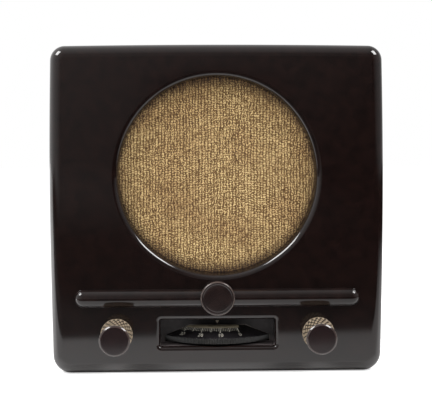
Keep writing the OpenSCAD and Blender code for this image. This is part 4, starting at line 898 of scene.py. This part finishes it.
class RADIO_OT_dial(bpy.types.Operator):
    """Make the ribbed thumb-wheel with its printed conical scale"""

    bl_idname = "radio.dial"
    bl_label = "Thumb-wheel and scale"

    def execute(self, context):
        n = context.scene.radio_sizes.rib_count
        columns, z0 = n * 6, wheel_lo.z
        rim_z, top = z0 + RIM_HIGH, z0 + CONE_HIGH
        r, inner, hub, under = WHEEL_R, WHEEL_R - 2.4 * MM, 8 * MM, top - 2.4 * MM
        # From the hub's underside out to the rim, up its ribs, back in over the cone and onto the hub
        profile = [(0, z0 + 5.1 * MM), (hub, z0 + 5.1 * MM), (hub, under), (CONE_R - 1 * MM, under)]
        profile += [(inner, rim_z - 1 * MM), (inner, z0), (r - 0.7 * MM, z0)]
        profile += [(r - 0.25 * MM, z) for z in np.linspace(z0 + 0.25 * MM, rim_z - 0.25 * MM, 7)]
        profile += [(r - 0.6 * MM, rim_z), (r - 0.8 * MM, rim_z + 0.1 * MM), (CONE_R, top)]
        profile += [(CONE_R - 0.5 * MM, top), (hub, top), (hub, top + 4 * MM), (0, top + 4 * MM)]
        profile = np.array(profile)
        ribbed = (np.abs(profile[:, :1] - r + 0.25 * MM) < 1e-6) * 1.0

        def ribs(a, p):
            """Upright ribs: a rounded wave of the angle."""
            return -0.3 * MM * np.cos(n * a) * ribbed

        part = turned(profile, (0, WHEEL_Y), "Z", columns, ribs)
        rows = np.repeat(np.arange(len(profile) - 1), columns)
        slots = (rows >= 6) & (rows < 13)
        wheel = build("thumb_wheel", part, [finish("dial"), finish("dial_rim")], "tuning", slots)
        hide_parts("tuning_wheel")
        self.print_scale()
        return {"FINISHED"}

    def print_scale(self):
        """A range of 0 to 100 over half a turn, with a band along the top, marks below it and numbers."""
        a = np.linspace(ZERO - 100 * UNIT - 3, ZERO + 3, 241)
        top = scale_at(a, 1.0)
        band_foot, band_in = 0.84, 0.86
        flat = (top - [0, WHEEL_Y, 0]) * [band_in, band_in, 1] + [0, WHEEL_Y, 0]
        on_wheel("scale_band", grid(np.stack([scale_at(a, band_foot), top, flat]), wrap=False), "band")
        value = np.arange(0, 101)
        centre = ZERO - UNIT * value
        # Where a mark begins on the slope, and half its width in degrees. The tens are longest.
        end = np.where(value % 10 == 0, 0.48, np.where(value % 5 == 0, 0.53, 0.6))
        half = np.where(value % 5 == 0, 0.38, 0.2)
        sides = np.stack([centre - half, centre + half])
        low, high = scale_at(sides, end[None, :]), scale_at(sides, 0.85)
        quads = np.stack([low[0], low[1], high[1], high[0]], 1)
        on_wheel("scale_marks", (quads.reshape(-1, 3), np.arange(len(quads) * 4).reshape(-1, 4)), "print")
        for i in range(11):
            self.print_number(i)

    def print_number(self, i):
        """One number of the scale: flat letters on the cone, x along the angle and y up the slope."""
        name = f"scale_number_{i:02d}"
        curve = bpy.data.curves.new(name, "FONT")
        curve.body = str(10 * i)
        curve.align_x = "CENTER"
        curve.offset = -0.012  # thinner strokes
        text = link("lettering", curve)
        graph = bpy.context.evaluated_depsgraph_get()
        mesh = bpy.data.meshes.new_from_object(text.evaluated_get(graph))
        bpy.data.objects.remove(text)
        co = places(mesh)
        degrees_wide, slope_high = 5.3, 0.36
        points = scale_at(ZERO - 10 * UNIT * i + co[:, 0] * degrees_wide, 0.15 + co[:, 1] * slope_high)
        mesh.vertices.foreach_set("co", points.astype(np.float32).ravel())
        mesh.materials.clear()
        mesh.materials.append(finish("print"))
        piece = link(name, mesh)
        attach(piece, "tuning")


class RADIO_OT_loudspeaker(bpy.types.Operator):
    """Finish the loudspeaker's pieces"""

    bl_idname = "radio.loudspeaker"
    bl_label = "Loudspeaker"

    def execute(self, context):
        steel = "baffle_screws speaker_screws drive_pin pole_shoes armature_reed reed_clamp"
        dress(board="baffle_board", card="card_gasket", leather="cone_surround", basket="speaker_basket")
        dress(paper="speaker_cone", brass="cone_hub motor_plate", magnet="speaker_magnet")
        return dress(copper="speaker_coil", sleeve="speaker_leads", steel=steel)


class RADIO_OT_controls(bpy.types.Operator):
    """Finish the shafts, capacitors and coils behind the knobs and the thumb-wheel"""

    bl_idname = "radio.controls"
    bl_label = "Controls inside"

    def execute(self, context):
        dress(steel="tuning_shaft coupling_screw coupling_shaft regeneration_screw regeneration_shaft")
        dress(steel="control_nuts front_bracket", brass="tuning_bushing wave_contacts control_bushings")
        dress(aluminium="tuning_rotor tuning_stator regeneration_rotor regeneration_stator")
        dress(hard_paper="tuning_frame wave_cam coil_former regeneration_frame")
        return dress(copper="coupling_coil coil_windings", moulding="mains_switch")


class RADIO_OT_chassis(bpy.types.Operator):
    """Finish the chassis board and what stands on it"""

    bl_idname = "radio.chassis"
    bl_label = "Chassis"

    def execute(self, context):
        dress(hard_paper="chassis_board", steel="chassis_screws resistor_clips", shield="main_valve_bulb")
        dress(moulding="main_valve_base main_valve_socket rectifier_base rectifier_socket")
        dress(glass="rectifier_bulb", can="filter_capacitor", ceramic="dropping_resistor")
        return dress(waxed="tubular_capacitors")


class RADIO_OT_back(bpy.types.Operator):
    """Finish the back cover, its screws, the sockets and the cord inlet"""

    bl_idname = "radio.back"
    bl_label = "Back"

    def execute(self, context):
        dress(back="back_cover", steel="cover_screws", rubber="cord_grommet")
        return dress(hard_paper="socket_strip", brass="aerial_sockets")


class RADIO_OT_stage(bpy.types.Operator):
    """Make the floor, the room, the lamps and the camera"""

    bl_idname = "radio.stage"
    bl_label = "Stage"

    def execute(self, context):
        settings = context.scene.radio_studio
        context.scene.view_settings.view_transform = "Standard"
        self.floor()
        self.room(settings.room)
        for name, side in [("lamp_left", -1), ("lamp_right", 1)]:
            self.lamp(name, side, settings.lamp)
        self.camera()
        return {"FINISHED"}

    def floor(self):
        """A plain white floor. It looks white to the camera and keeps the object's shadow. In the front's
        gloss it reaches as far as the white sheet does, and beyond that lies the dark room."""
        size = 3.0
        points = [(x * size, y * size, 0) for x, y in [(-1, -1), (1, -1), (-1, 1), (1, 1)]]
        mesh = bpy.data.meshes.new("floor")
        mesh.from_pydata(points, [], [(0, 1, 3, 2)])
        floor = link("floor", mesh)
        m, place = begin("white_paper")
        t = m.node_tree
        path = add(t, "LightPath")
        x, y, _ = place.axes()

        def ahead(start, end, low=0.0, high=1.0, value=y):
            """Stretches the floor from start to end, in metres in front of the face, onto low..high."""
            return value.spread(low, high, FRONT_Y - start, FRONT_Y - end)

        sheet = ahead(0.1575, 0.1375, value=x * 0.09 + y)
        # The dark room: a little light close to the sheet and more far off, most to the left
        share = (ahead(0.4, 0.25) * 0.9 + 0.3) + ahead(0.9, 1.8) * 2.7
        tone = ((x * -0.16 + 0.06) * share).math("MAXIMUM", 0.005)
        # The sheet: brighter to the left, and brightest at the object's foot
        rise, foot = ahead(0.15, 0.03, 0.8, 1.02), ahead(0.035, 0.005, high=0.55)
        sheet_tone = (x * -0.9 + 0.9) * (rise + foot)
        dark, bright = [add(t, "BsdfDiffuse", Color=colour) for colour in (tone, sheet_tone)]
        white = add(t, "BsdfDiffuse", Color=linear("#f4f4f4"))
        gloss = add(t, "MixShader", Fac=sheet, i1=dark, i2=bright)
        seen = add(t, "MixShader", Fac=path.out("Is Glossy Ray"), i1=white, i2=gloss)
        glow = add(t, "Emission", Color=(1, 1, 1, 1), Strength=0.62)
        lit = add(t, "AddShader", i0=seen, i1=glow)
        final = add(t, "MixShader", Fac=path.out("Is Camera Ray"), i1=seen, i2=lit)
        add(t, "OutputMaterial", Surface=final)
        mesh.materials.append(m)

    def room(self, even):
        """White behind the object for the camera, and an even light. In gloss the backdrop is white, the
        room in front of it dark, and darker still where a camera on its stand would be."""
        world = bpy.data.worlds.new("studio_room")
        bpy.context.scene.world = world
        world.use_nodes = True
        t = world.node_tree
        t.nodes.clear()
        path = add(t, "LightPath")
        x, y, z = add(t, "TexCoord", output="Generated").axes()
        behind = (x * -0.4 + y).rise(-0.35, 0.6)
        rise = (z + 0.125).math("MINIMUM", 0.24)
        above = z.spread(0.0, 0.5, 0.5, 1.0)
        right = x.spread(0.0, 0.9, 0.3, 1.0)
        front = x * -0.65 + (rise + (above + right))
        # The camera's stand: a narrow dark stretch that ends at the camera
        beside = (x - 0.02).math("ABSOLUTE").rise(0.04, 0.07)
        over = z.rise(0.025, 0.032)
        free = beside.math("MAXIMUM", over).math("MAXIMUM", behind) * 0.7 + 0.3
        front = (front * free).math("MAXIMUM", 0.015)
        gloss = behind.math("POWER", 1.6) * 0.5 + front
        seen = path.out("Is Camera Ray").math("MAXIMUM", path.out("Is Transmission Ray"))
        number = {"data_type": "FLOAT"}
        level = add(t, "Mix", number, i0=path.out("Is Glossy Ray"), i2=even, i3=gloss)
        level = add(t, "Mix", number, i0=seen, i2=level, i3=1.0)
        sky = add(t, "Background", Color=(1, 1, 1, 1), Strength=level)
        add(t, "OutputWorld", Surface=sky)

    def lamp(self, name, side, power):
        """A square soft lamp above one side, half a metre wide, that looks at the object."""
        data = bpy.data.lights.new(name, "AREA")
        data.size = 0.5
        data.energy = power
        lamp = link(name, data)
        lamp.location = (side * 0.78, -0.38, 0.98)
        lamp.rotation_euler = (Vector((0, 0, 0.1)) - lamp.location).to_track_quat("-Z", "Y").to_euler()

    def camera(self):
        """The photograph's camera: a 98.3 mm lens 0.85 m in front of the face, 17 mm to the left and 192
        mm up, tilted down by 3.4 degrees and turned right by 1.8, with the frame shifted to suit."""
        data = bpy.data.cameras.new("camera")
        data.lens = 98.3
        data.sensor_width = 36.0
        data.shift_x = -0.0347
        data.shift_y = -0.0632
        camera = link("camera", data)
        camera.location = (-0.0169, FRONT_Y - 0.85, 0.1918)
        camera.rotation_euler = (math.pi / 2 - 0.0591, 0.0029, -0.0318)
        bpy.context.scene.camera = camera


class RADIO_PT_panel(bpy.types.Panel):
    """Buttons for each group of pieces"""

    bl_idname = "RADIO_PT_panel"
    bl_label = "Moulded table radio"
    bl_space_type = "VIEW_3D"
    bl_region_type = "UI"
    bl_category = "Radio"

    def draw(self, context):
        for operator in operators:
            self.layout.operator(operator.bl_idname)
        for group in groups:
            box = self.layout.box()
            settings = getattr(context.scene, group)
            for key in settings.bl_rna.properties.keys():
                if key not in ("rna_type", "name"):
                    box.prop(settings, key)


operators = (
    RADIO_OT_cabinet, RADIO_OT_trim, RADIO_OT_cloth, RADIO_OT_knobs, RADIO_OT_dial, RADIO_OT_loudspeaker,
    RADIO_OT_controls, RADIO_OT_chassis, RADIO_OT_back, RADIO_OT_stage,
)
groups = {"radio_sizes": RadioSizes, "radio_colours": RadioColours, "radio_studio": StudioSettings}
classes = (*groups.values(), *operators, RADIO_PT_panel)


def register():
    for c in classes:
        bpy.utils.register_class(c)
    for name, group in groups.items():
        setattr(bpy.types.Scene, name, bpy.props.PointerProperty(type=group))


def unregister():
    for name in groups:
        delattr(bpy.types.Scene, name)
    for c in reversed(classes):
        bpy.utils.unregister_class(c)


def main():
    """Makes every piece in order."""
    register()
    for operator in operators:
        group, name = operator.bl_idname.split(".")
        getattr(getattr(bpy.ops, group), name)()


if __name__ == "__main__":
    main()
